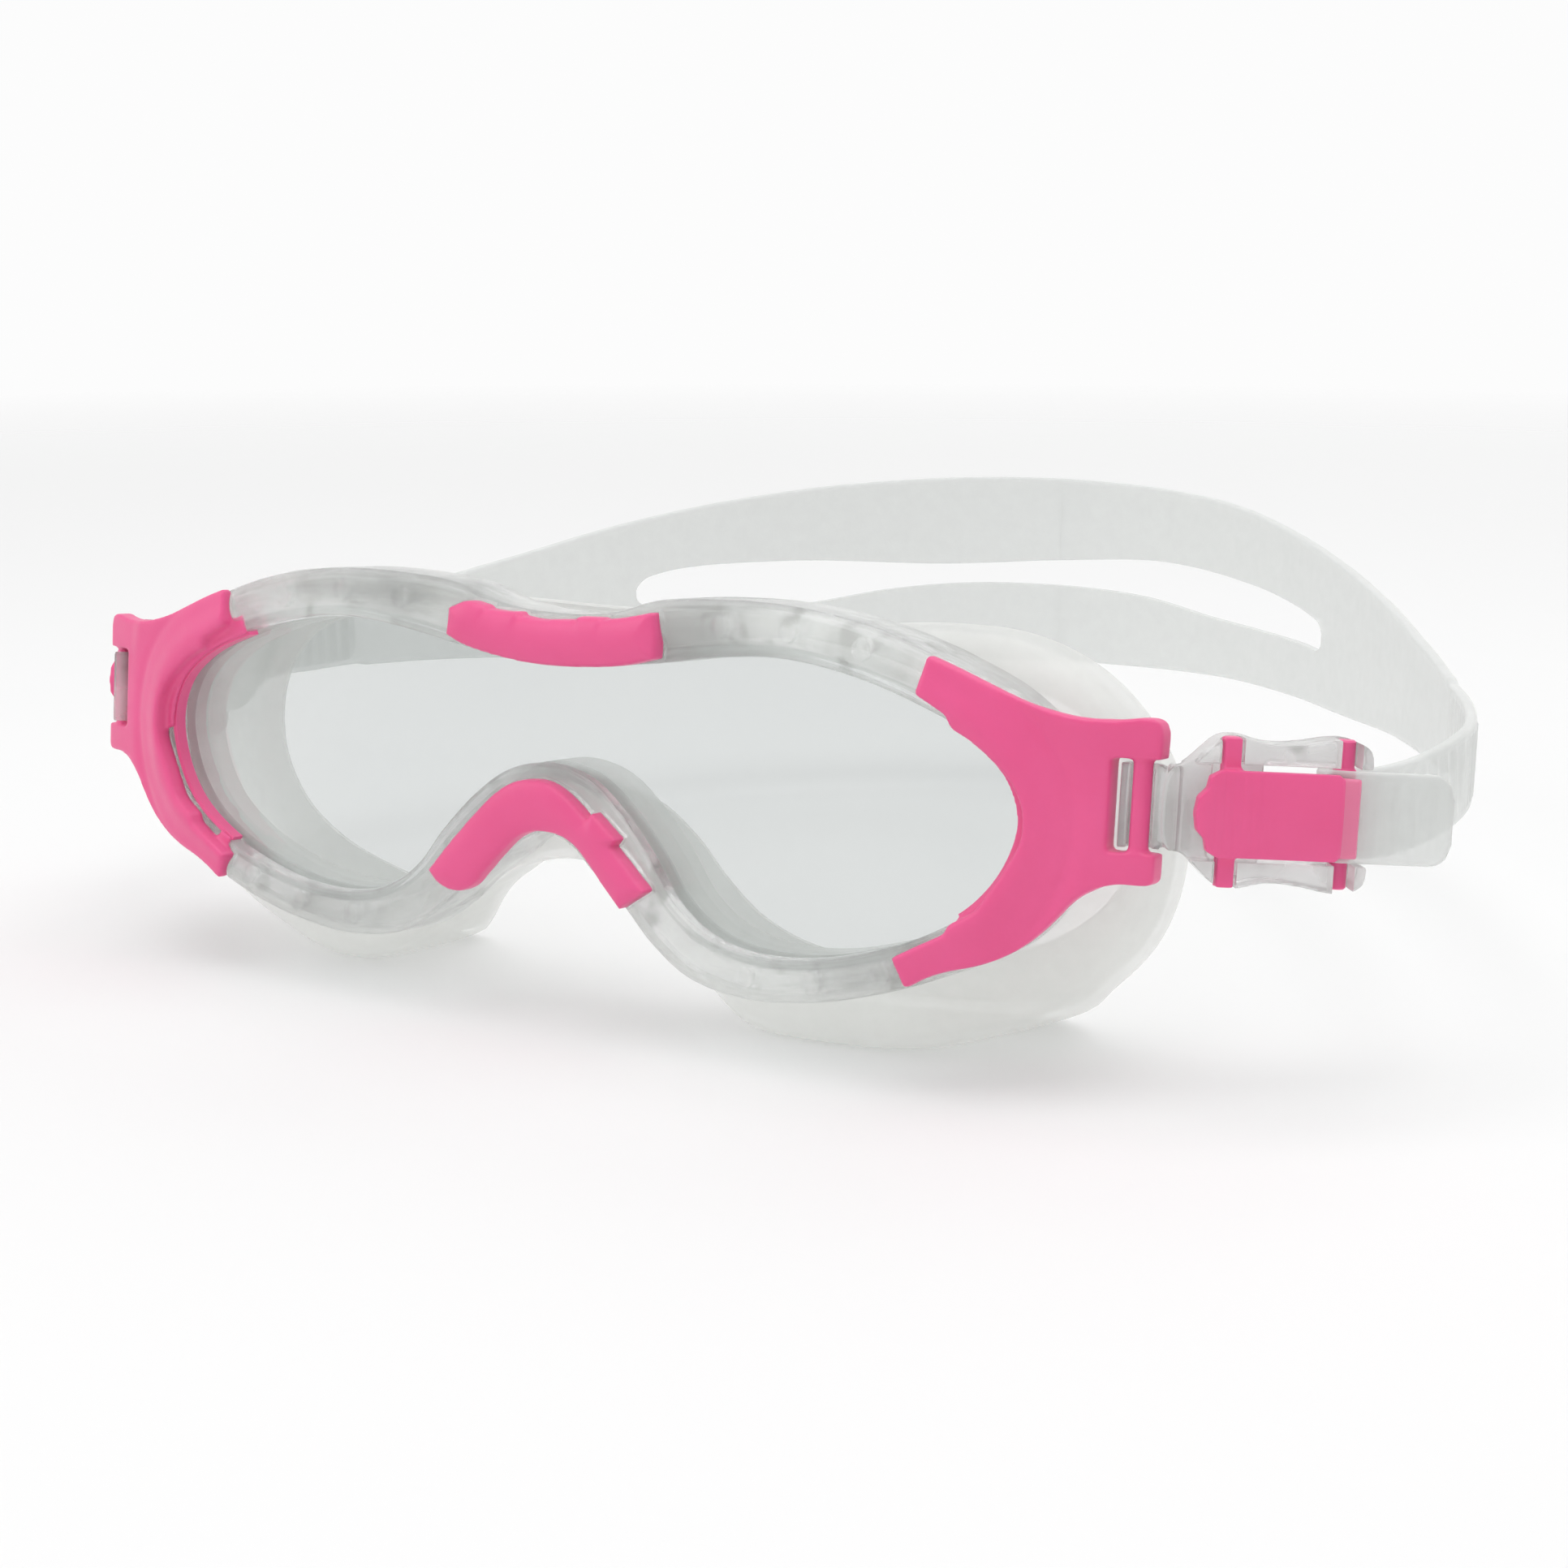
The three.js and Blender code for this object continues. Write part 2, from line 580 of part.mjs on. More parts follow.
function strapPath() {
  const right = wrap("right", 4);
  const left = wrap("left", 5);
  const height = (y) => between(LOOP_RISE, y);
  const loop = LOOP_PLAN.map(([x, y]) => new THREE.Vector3(x, y, height(y)));
  const curve = new THREE.CatmullRomCurve3([right[1], right[0], ...loop, left[0], left[1]]);
  const loopPoints = curve.getSpacedPoints(74);
  const tailStep = (u) =>
    hinges.right.localToWorld(new THREE.Vector3(ROLLER.along + u, -WRAP_RADIUS, 0));
  const rightTail = [RIGHT_TAIL_LENGTH, RIGHT_TAIL_LENGTH / 2].map(tailStep);
  const tailEnd = LEFT_TAIL.map(([x, y]) => new THREE.Vector3(x, y, height(y) - 0.4));
  const leftStart = hinges.left.localToWorld(new THREE.Vector3(ROLLER.along + 5, -WRAP_RADIUS, 0));
  const leftCurve = new THREE.CatmullRomCurve3([left.at(-1), leftStart, ...tailEnd]);
  const leftTail = leftCurve.getSpacedPoints(9).slice(1);
  return {
    points: [
      ...rightTail,
      ...right.slice(2).reverse(),
      ...loopPoints,
      ...left.slice(2),
      ...leftTail,
    ],
    loopStart: rightTail.length + right.length - 2,
    loopCount: loopPoints.length,
  };
}

// Frames along the strap: across the band the roller axis near a buckle, straight up elsewhere.
function strapFrames() {
  const { points, loopStart, loopCount } = strapPath();
  const rollerAxis = new THREE.Vector3(0, 0, 1).applyMatrix4(lean);
  const up = new THREE.Vector3(0, 0, 1);
  const travelled = [0];
  for (let i = 1; i < points.length; i++) {
    travelled.push(travelled[i - 1] + points[i].distanceTo(points[i - 1]));
  }
  const start = travelled[loopStart];
  const length = travelled[loopStart + loopCount - 1] - start;
  const middle = start + MIDDLE_AT * length;
  return points.map((p, i) => {
    const ahead = points[Math.min(i + 1, points.length - 1)];
    const behind = points[Math.max(i - 1, 0)];
    const along = ahead.clone().sub(behind).normalize();
    const fromRoller = Math.min(travelled[i] - start, start + length - travelled[i]);
    const turn = THREE.MathUtils.smoothstep(fromRoller, 8, 70);
    const across = rollerAxis.clone().lerp(up, turn).normalize();
    across.addScaledVector(along, -across.dot(along)).normalize();
    const normal = new THREE.Vector3().crossVectors(along, across);
    return { p, across, normal, d: travelled[i] - middle };
  });
}

function bandSection({ p, across, normal }, top, low, thickness) {
  const at = (side, height) =>
    p.clone().addScaledVector(normal, (side * thickness) / 2).addScaledVector(across, height);
  return [at(-1, low), at(1, low), at(1, top), at(-1, top)];
}

function strap() {
  const frames = strapFrames();
  const band = frames.map((frame) =>
    bandSection(frame, bandAt("top", frame.d), bandAt("low", frame.d), STRAP_THICKNESS),
  );
  const slit = frames
    .filter((frame) => Math.abs(frame.d) < SLIT_HALF_LENGTH)
    .map((frame) => bandSection(frame, bandAt("slitTop", frame.d), bandAt("slitLow", frame.d), 8));
  return toSolid(loft(band)).subtract(toSolid(loft(slit)));
}

// ---------- whole object on its origin ----------
const goggles = new THREE.Group();
goggles.add(mask);
goggles.add(named("head_strap", fromSolid(strap()), "silicone"));
const bounds = new THREE.Box3().setFromObject(goggles, true);
goggles.position.set(
  -(bounds.min.x + bounds.max.x) / 2,
  -(bounds.min.y + bounds.max.y) / 2,
  -bounds.min.z,
);
const root = new THREE.Group();
root.add(goggles);
export default root;
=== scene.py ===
import json
import math
from contextlib import contextmanager

import bmesh
import bpy
import numpy as np
from mathutils import Matrix, Vector


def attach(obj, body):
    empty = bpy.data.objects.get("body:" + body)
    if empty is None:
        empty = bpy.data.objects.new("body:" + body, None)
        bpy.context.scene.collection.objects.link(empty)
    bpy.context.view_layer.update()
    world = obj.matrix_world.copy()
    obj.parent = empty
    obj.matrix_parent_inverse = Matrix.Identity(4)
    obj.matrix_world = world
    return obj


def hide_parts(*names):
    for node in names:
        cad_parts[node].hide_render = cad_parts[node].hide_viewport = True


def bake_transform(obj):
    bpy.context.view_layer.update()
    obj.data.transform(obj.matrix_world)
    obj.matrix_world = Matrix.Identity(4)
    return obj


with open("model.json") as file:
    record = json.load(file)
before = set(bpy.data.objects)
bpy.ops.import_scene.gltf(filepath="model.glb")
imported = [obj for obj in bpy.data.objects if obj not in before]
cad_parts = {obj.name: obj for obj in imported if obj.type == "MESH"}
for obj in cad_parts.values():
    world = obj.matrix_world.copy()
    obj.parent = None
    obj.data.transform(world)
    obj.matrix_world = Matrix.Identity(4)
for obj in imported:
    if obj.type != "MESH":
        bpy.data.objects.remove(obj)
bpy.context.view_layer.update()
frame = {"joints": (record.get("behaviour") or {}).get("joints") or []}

# ---------- dimensions in millimetres ----------
# The curve and the lean of the whole mask.
HALF_WIDTH = 79
SIDE_SWEEP = 11.2
CENTRE_DISH = 3.1
LEAN = math.radians(5.6)
FINE = 10  # stations between two control points of an outline
GAP = 0.3
# Depths behind the front face of the trim, the lens, the skirt's flange and the frame.
TRIM_FRONT = -1.0
TRIM_BACK = 0.9
TRIM_SEAT = 1.2
LIP_BACK = 2.6
LENS_FRONT = 2.9
LENS_BACK = 4.9
FLANGE_FRONT = 5.2
FLANGE_BACK = 6.3
RETAINER_FRONT = 6.6
FRAME_BACK = 9.2
NECK_BACK = 9.8
# Wall thicknesses and the lens's hold in the frame.
BEZEL_WALL = 1.4
SKIRT_WALL = 1.3
LENS_OVERLAP = 1.8
LENS_STRIP = 2.0
POST_RADIUS = 0.7
SOCKET_RADIUS = 1.15
# The hinge bar and the slot beside it.
BAR_RADIUS = 1.0
BAR_X = 76.9
BAR_DEPTH = 0.35
BAR_MIDDLE = 5.55
SLOT = {"x": 73.9, "low": 0.2, "high": 10.9}
# The wing's back lip: its upper and lower end along x, its depth and wall, and how low it is joined.
LIP_ENDS = {"right": (57.5, 57), "left": (49, 51.2)}
LIP_FRONT = {"right": 1.0, "left": 0.9}
LIP_WALL = 0.5
WEB_LOW = {"right": -12, "left": 0.6}
# The buckle, with lengths measured from its hinge and depths from the hinge's middle.
BUCKLE_FRONT = -3.4
BUCKLE_BACK = 2.6
POCKET = (-5.5, 5.5)
AXLE_SEAT = 1.3
ROLLER_SEAT = 1.25
HOOK_INNER = 1.35
HOOK_OUTER = 2.45
HOOK_HALF = 4.8
ROLLER_ALONG = 22.8
ROLLER_RADIUS = 1.35
JOURNAL = 1.1
LEVER_ALONG = 9.4
LEVER_DEPTH = -1.9
LEVER_HALF = 4.9
PIN_HALF = 8.5
PIN_RADIUS = 1.12
STRAP = 1.4
WRAP_RADIUS = ROLLER_RADIUS + GAP + STRAP / 2
LEVER_BACK = -(WRAP_RADIUS + STRAP / 2 + GAP)
LEVER_FRONT = LEVER_BACK - 1.3
SWING = {"right": math.radians(57), "left": math.radians(12)}
# The floor below the middle of the mask, and how softly the skirt flattens on it.
REST_PLANE = -30.9
SETTLE_SOFT = 1.1

# Right halves of the mask's outlines in x and z, top middle to bottom middle, and some with a depth.
OPENING = [
    (0, 15.6), (8, 15.8), (15, 16.6), (24, 18.1), (33, 18.7), (42, 17.5), (50, 15.2),
    (57.4, 11.9), (62.1, 7.9), (64, 2.8), (62.7, -2.8), (59.1, -7.9), (53.3, -11.8),
    (46, -14.7), (38, -16.6),
    (30, -16.8), (24, -15.2), (19.5, -12), (15.5, -6.8), (11, -2), (6, 1.6), (0, 2.9),
]
FRAME_OUTER = [
    (0, 21.7), (8, 22.3), (15, 24.3), (24, 25.1), (34, 25), (44.5, 23.4), (54, 20.4), (62, 16.4),
    (67.5, 10.8), (69.8, 3.3), (68.5, -4.6), (64, -11.5), (57.5, -15.6), (49.5, -19), (40, -21.6),
    (30, -22.6), (22, -21.2), (16.5, -17.8), (12, -13.6), (7.5, -10.2), (3.8, -7.2), (0, -5.9),
]
SKIRT_FOLD = [
    (0, 22.1, 13), (8, 22.2, 13), (16, 22.2, 13.5), (25, 22.4, 14.5), (35, 22.5, 16),
    (46, 23.4, 17), (55, 22.8, 20), (63, 19.3, 22.5), (69.6, 12.6, 24.5), (73.8, 4, 25.4),
    (74.4, -5.5, 25.6), (71.5, -14.4, 25.6), (63.5, -22.6, 24.6), (53, -27.4, 22.8),
    (42, -30.9, 20), (32, -31.2, 17.2), (25, -29.6, 15.6), (20.5, -26.5, 15), (15.6, -21.5, 14.5),
    (10.5, -15.5, 14), (5, -11.8, 13.6), (0, -10.8, 13.5),
]
SKIRT_LIP = [
    (0, 16.5, 17), (8, 16.6, 17.2), (16, 17, 17.8), (25, 17.4, 19), (35, 17.6, 20.8),
    (45, 17.2, 23), (54, 15.6, 25.5), (60.5, 12.4, 27.8), (65, 7.6, 29.4), (67, 2, 30.4),
    (66.4, -4.6, 30.8), (62.5, -11, 31), (56, -15.8, 31.4), (47.5, -19, 31.8), (38.5, -21, 31.6),
    (29.5, -21.4, 30.4), (23, -19.8, 27.6), (18.4, -16.6, 24.4), (14.8, -12, 21.6),
    (10.8, -6.8, 20), (6, -3, 19), (0, -1.6, 18.6),
]
PRESSED = {"x": -22, "spread": 12, "lift": 8.2}  # where the skirt's lower edge is pushed up
LOBE_DEPTH = 13
# Trim outlines in x and z. A third value marks a sharp corner.
WING = [
    (52.6, 20.9, 1), (56, 19.7), (60, 18.1), (63.5, 16.7), (66.6, 15.8), (70, 15.2), (74, 15.1),
    (77.2, 15.5), (78.5, 15.2), (79, 14.1), (79, 11), (79, 5), (79, -0.2), (79, -2.2),
    (78.9, -3.2), (78, -3.5), (75.3, -3.5), (73, -4.2), (70.8, -5.8), (68.4, -8.7),
    (65.7, -11.4), (63, -13.2), (60.3, -14.4), (57, -15.4), (54.4, -16.5), (52, -18, 1),
    (50.5, -14.4, 1), (53.8, -12.5), (56.7, -10.9, 1), (57.1, -9.8, 1), (60.1, -7.8),
    (61.7, -5.3), (63.6, -2.1), (64.8, 0.4), (65, 2.7), (64.6, 5), (63.3, 7.4), (61.4, 9.3),
    (58.9, 11.2), (56.1, 12.7, 1), (55.4, 14.2, 1), (51.6, 16.3, 1),
]
BROW = [
    (-14.3, 21.4, 1), (-11.6, 22.4), (-8.8, 22, 1), (-8.5, 21.6, 1), (-5.8, 21.5), (-3.8, 21.6, 1),
    (-3.4, 21.1, 1), (-0.5, 20.9), (2.2, 21.1), (4.9, 21.3, 1), (5.2, 21.7, 1), (8.6, 21.8, 1),
    (8.9, 21.6, 1), (12, 22.1), (15.9, 23, 1), (16.6, 20.1), (16.6, 17.4, 1), (11.9, 16.2),
    (5.7, 15.5), (-0.7, 15.3), (-7.2, 15.9), (-12.2, 16.9), (-14.6, 17.9, 1),
]
NOSE = [
    (-16.2, -12.2, 1), (-13.1, -8.4), (-9.7, -4.6), (-6.7, -1.6), (-3.6, 0.4), (0, 1), (2.6, 0.4),
    (5.3, -1.2), (7.6, -3, 1), (8.5, -2.2, 1), (12.2, -5.1, 1), (11.4, -6, 1), (14.1, -8.5),
    (16.8, -10.9, 1), (13, -13.5, 1), (10, -10.5), (7.2, -7.6), (5.2, -6.1), (2.6, -5.4),
    (-0.4, -5.5), (-2.9, -6.6), (-5.4, -9), (-7.7, -11.6), (-9.6, -13.6), (-11.8, -14.4),
    (-14.4, -13.8),
]
# Halves of the buckle's and the lever's outlines: distance from the hinge and half width.
BUCKLE_EDGE = [
    (2.2, 4.8), (4.6, 4.8), (6.4, 6.6), (8.4, 8.5), (10.8, 8.6), (13.6, 7.7), (17.4, 7.9),
    (21.6, 8.8), (24.2, 8.4), (25.6, 7),
]
LEVER_EDGE = [
    (5.2, 0), (5.5, 1.9), (6.5, 2.9), (6.7, 4.2), (8, 4.9), (21.4, 4.9), (21.7, 4.55), (23.9, 4.5),
]
LEVER_LINE = 21.7  # where the lever steps down to its paler end
RIDGE_PITCH = 1.05
# The strap's path seen from above, its rise with the distance back, and its tails.
LOOP_PLAN = [
    (101.6, 32.5), (102.8, 43), (98.8, 57.5), (89, 77.5), (80, 92.5), (70.5, 107), (59.5, 122),
    (46.5, 137), (27, 153), (2, 161), (-20, 156.5), (-39, 144), (-53.5, 128), (-62, 112),
    (-67, 97), (-71.5, 82), (-76, 67), (-80, 53), (-81.6, 42),
]
LOOP_RISE = [(0, 3.4), (26, 3.4), (47, 5.3), (85, 5.6), (161, 7.8)]
LEFT_TAIL = [(-86.8, 43), (-85.8, 53), (-82.4, 65)]
RIGHT_TAIL = 12
MIDDLE_AT = 0.541  # share of the loop at which the band's middle lies
# Edges of the band and of the slit in it, against the distance from the middle of the band.
BAND_TOP = [
    (-150, 5.4), (-138, 5.7), (-122, 7.2), (-104, 9.2), (-65, 12.3), (-33, 15), (-6, 16),
    (14, 16), (38, 15), (64, 12.9), (87, 10.5), (104, 8.2), (118, 6.4), (131, 5.5), (150, 5.2),
]
BAND_LOW = [
    (-150, -6.2), (-138, -7), (-110, -8), (-79, -11.2), (-34, -14), (-7, -15.3), (14, -15.6),
    (34, -14.6), (79, -11.2), (95, -9), (110, -7.1), (131, -5.6), (150, -5.2),
]
SLIT_TOP = [
    (-71, 0.8), (-63, 1.6), (-52, 2.4), (-40, 2.8), (-20, 3.5), (0, 2.1), (20, 1), (48, 2.4),
    (69, 2.7), (77, 1.6),
]
SLIT_LOW = [
    (-71, -3.6), (-62, -3.8), (-34, -4.5), (-15, -2.8), (14, -2.3), (29, -3.3), (47, -5.4),
    (62, -4.2), (77, -2.8),
]
SLIT_ENDS = (-71.3, 77)
SLIT_CAP = 3.0
NARROW = 5.2  # half width of the ends that run through the buckles
SHOULDERS = (-138, 131)  # where the narrow ends begin
RIB_PITCH = 2.3
RIB_HEIGHT = 0.34
STEP = 0.25  # between the stations along the strap


# ---------- curves and outlines ----------
def front_depth(x):
    """How far the mask's front face is swept back at x."""
    r = x / HALF_WIDTH
    return SIDE_SWEEP * r ** 4 - CENTRE_DISH * r ** 2


def spline(control, per, closed=False):
    """Centripetal curve through control points (first axis), per steps between each two."""
    p = np.asarray(control, float)
    if closed:
        p = np.concatenate([p[-1:], p, p[:2]])
    else:
        p = np.concatenate([2 * p[:1] - p[1:2], p, 2 * p[-1:] - p[-2:-1]])
    t = np.arange(per) / per
    t = t.reshape((per,) + (1,) * (p.ndim - 1))
    out = []
    for a, b, c, d in zip(p[:-3], p[1:-2], p[2:-1], p[3:]):
        gap = [np.maximum(((v - u) ** 2).sum(-1, keepdims=True) ** 0.25, 1e-4)
               for u, v in ((a, b), (b, c), (c, d))]
        start = (b - a) / gap[0] - (c - a) / (gap[0] + gap[1]) + (c - b) / gap[1]
        end = (c - b) / gap[1] - (d - b) / (gap[1] + gap[2]) + (d - c) / gap[2]
        start = start * gap[1]
        end = end * gap[1]
        square = 3 * (c - b) - 2 * start - end
        cube = 2 * (b - c) + start + end
        out.append(b + start * t + square * t ** 2 + cube * t ** 3)
    if not closed:
        out.append(p[-2:-1])
    return np.concatenate(out)


def close_half(half):
    other = [(-p[0],) + tuple(p[1:]) for p in half[-2:0:-1]]
    return list(half) + other


def smooth_loop(half):
    """Stations round a closed outline, as x, y, z with y the depth behind the front face."""
    points = [(p[0], p[2] if len(p) > 2 else 0, p[1]) for p in close_half(half)]
    return spline(points, FINE, closed=True)


def normals_of(loop):
    step = np.roll(loop, -1, 0) - np.roll(loop, 1, 0)
    return unit(np.stack([-step[:, 2], np.zeros(len(loop)), step[:, 0]], 1))


def offset(loop, distance):
    return loop + normals_of(loop) * distance


def straight(loop, depth):
    """Stations at a depth with the front face laid out flat, for cutting before it is bent."""
    return np.stack([loop[:, 0], np.full(len(loop), depth), loop[:, 2]], 1)


def bend(points):
    """Follows the curved front face with what was made flat."""
    p = np.array(points, float)
    p[:, 1] += front_depth(p[:, 0])
    return p


def at_depth(loop, depth):
    return bend(straight(loop, depth))


def flat(points):
    return points[:, [0, 2]]


def drawn(outline):
    """A closed outline that is smooth between its marked corners."""
    count = len(outline)
    marks = [i for i, p in enumerate(outline) if len(p) > 2]
    runs = []
    for a, b in zip(marks, marks[1:] + [marks[0] + count]):
        run = [outline[k % count][:2] for k in range(a, b + 1)]
        runs.append(spline(run, 6 if len(run) > 2 else 1)[:-1])
    return np.concatenate(runs)


def rounded(outline):
    """A closed outline of pairs with its corners cut twice."""
    p = np.asarray(outline, float)
    for _ in range(2):
        q = np.roll(p, -1, 0)
        p = np.stack([0.75 * p + 0.25 * q, 0.25 * p + 0.75 * q], 1).reshape(-1, 2)
    return p


def grown(outline, distance):
    p = np.asarray(outline, float)
    loop = np.stack([p[:, 0], np.zeros(len(p)), p[:, 1]], 1)
    return flat(offset(loop, distance))


def along_table(table, x):
    """A smooth curve through the rows of a table, read at x."""
    dense = spline(table, 12)
    return np.interp(x, dense[:, 0], dense[:, 1])


def unit(vectors):
    return vectors / np.linalg.norm(vectors, axis=1, keepdims=True)


def run_along(points):
    """Distance from the start at each point of a path."""
    return np.concatenate([[0], np.cumsum(np.linalg.norm(np.diff(points, axis=0), axis=1))])


def turns(sides):
    return np.arange(sides) * 2 * math.pi / sides


def smoothstep(v, low, high):
    t = np.clip((v - low) / (high - low), 0, 1)
    return t * t * (3 - 2 * t)


def distance_to(points, loop):
    """Distance of each x, z pair to a closed polyline."""
    a = np.asarray(loop, float)
    ab = np.roll(a, -1, 0) - a
    best = np.full(len(points), 1e9)
    for start, step in zip(a, ab):
        rel = points - start
        t = np.clip(rel @ step / max(step @ step, 1e-12), 0, 1)
        best = np.minimum(best, ((rel - t[:, None] * step) ** 2).sum(1))
    return np.sqrt(best)


def inside(points, loop):
    """Whether each x, z pair lies inside a closed polyline."""
    a = np.asarray(loop, float)
    b = np.roll(a, -1, 0)
    odd = np.zeros(len(points), bool)
    for (x0, z0), (x1, z1) in zip(a, b):
        crosses = (z0 > points[:, 1]) != (z1 > points[:, 1])
        if z0 != z1:
            odd ^= crosses & (points[:, 0] < x0 + (points[:, 1] - z0) * (x1 - x0) / (z1 - z0))
    return odd


# ---------- meshes ----------
def add_object(name, data):
    obj = bpy.data.objects.new(name, data)
    bpy.context.scene.collection.objects.link(obj)
    return obj


def mesh_object(name, points, faces):
    mesh = bpy.data.meshes.new(name)
    mesh.from_pydata([tuple(p) for p in points], [], [tuple(f) for f in faces])
    mesh.validate()
    obj = add_object(name, mesh)
    face_outward(obj)
    return obj


@contextmanager
def edited(obj):
    """Lends a piece's mesh for editing and writes it back."""
    bm = bmesh.new()
    bm.from_mesh(obj.data)
    yield bm
    bm.to_mesh(obj.data)
    bm.free()


def face_outward(obj):
    with edited(obj) as bm:
        bmesh.ops.recalc_face_normals(bm, faces=bm.faces)


def get_points(obj):
    co = np.empty(len(obj.data.vertices) * 3)
    obj.data.vertices.foreach_get("co", co)
    return co.reshape(-1, 3)


def set_points(obj, points):
    obj.data.vertices.foreach_set("co", np.asarray(points, float).ravel())
    obj.data.update()


def bridge(size, i, j):
    """Faces between two of a mesh's sections, of size points each."""
    faces = []
    for k in range(size):
        m = (k + 1) % size
        faces.append((i * size + k, i * size + m, j * size + m, j * size + k))
    return faces


def ring_loft(name, sections):
    """A closed ring from an array of section points: sections[k] is the loop of one point."""
    grid = np.stack(sections, 1)
    count, size = grid.shape[:2]
    faces = []
    for i in range(count):
        faces += bridge(size, i, (i + 1) % count)
    return mesh_object(name, grid.reshape(-1, 3), faces)


def open_loft(name, grid):
    """A closed bar from sections: grid[i] holds the corners of section i."""
    size = grid.shape[1]
    last = size * (len(grid) - 1)
    faces = [tuple(range(size)), tuple(last + k for k in reversed(range(size)))]
    for i in range(len(grid) - 1):
        faces += bridge(size, i, i + 1)
    return mesh_object(name, grid.reshape(-1, 3), faces)


def prism(name, outline, low, high, axis="y"):
    """A straight prism of an outline: in x and z along Y, or in x and y along Z."""
    p = np.asarray(outline, float)
    n = len(p)
    levels = [np.full(n, low), np.full(n, high)]
    columns = [(p[:, 0], h, p[:, 1]) if axis == "y" else (p[:, 0], p[:, 1], h) for h in levels]
    points = np.concatenate([np.stack(c, 1) for c in columns])
    faces = [tuple(range(n)), tuple(range(2 * n - 1, n - 1, -1)), *bridge(n, 0, 1)]
    return mesh_object(name, points, faces)


def block(x, y, z):
    """A box between two values on each axis, to cut with or to fuse into a piece."""
    return prism("block", [(x[0], z[0]), (x[1], z[0]), (x[1], z[1]), (x[0], z[1])], y[0], y[1])


def rod(radius, x, y, low, high, axis="z", sides=40):
    """A round bar along Z, centred on x and y, or along Y, with y for its height."""
    turn = turns(sides)
    ring = np.stack([x + radius * np.cos(turn), y + radius * np.sin(turn)], 1)
    return prism("rod", ring, low, high, axis)


def apply_modifiers(obj):
    bpy.context.view_layer.update()
    depsgraph = bpy.context.evaluated_depsgraph_get()
    mesh = bpy.data.meshes.new_from_object(obj.evaluated_get(depsgraph))
    old = obj.data
    obj.modifiers.clear()
    obj.data = mesh
    bpy.data.meshes.remove(old)
    return obj


def combine(obj, others, operation="DIFFERENCE"):
    """Cuts the others out of a piece, or joins them to it, and removes them."""
    for other in others:
        modifier = obj.modifiers.new("cut", "BOOLEAN")
        modifier.operation = operation
        modifier.solver = "EXACT"
        modifier.object = other
        apply_modifiers(obj)
        bpy.data.objects.remove(other)


def merge(obj, others):
    """Overlapping closed shells in one mesh, for moulded() to fuse."""
    with edited(obj) as bm:
        for other in others:
            bm.from_mesh(other.data)
    for other in others:
        bpy.data.objects.remove(other)
    return obj


def moulded(obj, voxel, smooth):
    """One fused skin with softly rounded edges, as a mould leaves it."""
    modifier = obj.modifiers.new("skin", "REMESH")
    modifier.mode = "VOXEL"
    modifier.voxel_size = voxel
    modifier.adaptivity = 0
    modifier = obj.modifiers.new("soften", "SMOOTH")
    modifier.factor = 0.5
    modifier.iterations = smooth
    return apply_modifiers(obj)


# ---------- placing ----------
def leaned(points, angle=LEAN):
    """Turns points from the upright mask to the mask as it leans back."""
    p = np.asarray(points, float)
    y = p[:, 1] * math.cos(angle) + p[:, 2] * math.sin(angle)
    z = -p[:, 1] * math.sin(angle) + p[:, 2] * math.cos(angle)
    return np.stack([p[:, 0], y, z], 1)


def hinge_point():
    """The middle of the right hinge bar on the upright mask."""
    return np.array([[BAR_X, front_depth(BAR_X) + BAR_DEPTH, BAR_MIDDLE]])


def find_shift():
    """What moves the mask's own millimetres to the shared frame, from the right hinge's place."""
    joint = next(j for j in frame["joints"] if j["name"] == "right_buckle_swing")
    return np.array(joint["pos_m"]) * 1000 - leaned(hinge_point())[0]


SHIFT = find_shift()


def metres(points):
    return (np.asarray(points, float) + SHIFT) / 1000


def buckle_to_mask(points, side):
    """Along, depth and height of a buckle to the mask's millimetres, still upright."""
    p = np.asarray(points, float)
    turn = math.pi / 2 - SWING[side]
    bar = hinge_point()[0]
    x = bar[0] + p[:, 0] * math.cos(turn) - p[:, 1] * math.sin(turn)
    y = bar[1] + p[:, 0] * math.sin(turn) + p[:, 1] * math.cos(turn)
    x = x if side == "right" else -x
    return np.stack([x, y, bar[2] + p[:, 2]], 1)


def place(obj, points, turned=False):
    """Sets final places, with faces turned for a mirror image, and smooth shading."""
    set_points(obj, metres(points))
    if turned:
        obj.data.flip_normals()
    face_outward(obj)
    obj.data.shade_smooth()
    obj.data.set_sharp_from_angle(angle=math.radians(42))


def finish_piece(obj, name, body, node, material):
    """Names a piece, gives it its material, ties it to its body where that is one name and else
    fixes its place, and hides the CAD node it stands for.
    """
    obj.name = name
    obj.data.name = name
    obj.data.materials.clear()
    obj.data.materials.append(material)
    if isinstance(body, str):
        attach(obj, body)
    else:
        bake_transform(obj)
    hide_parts(node)


def finish_on_mask(obj, points, name, node, material, turned=False):
    place(obj, leaned(points), turned)
    finish_piece(obj, name, "mask", node, material)


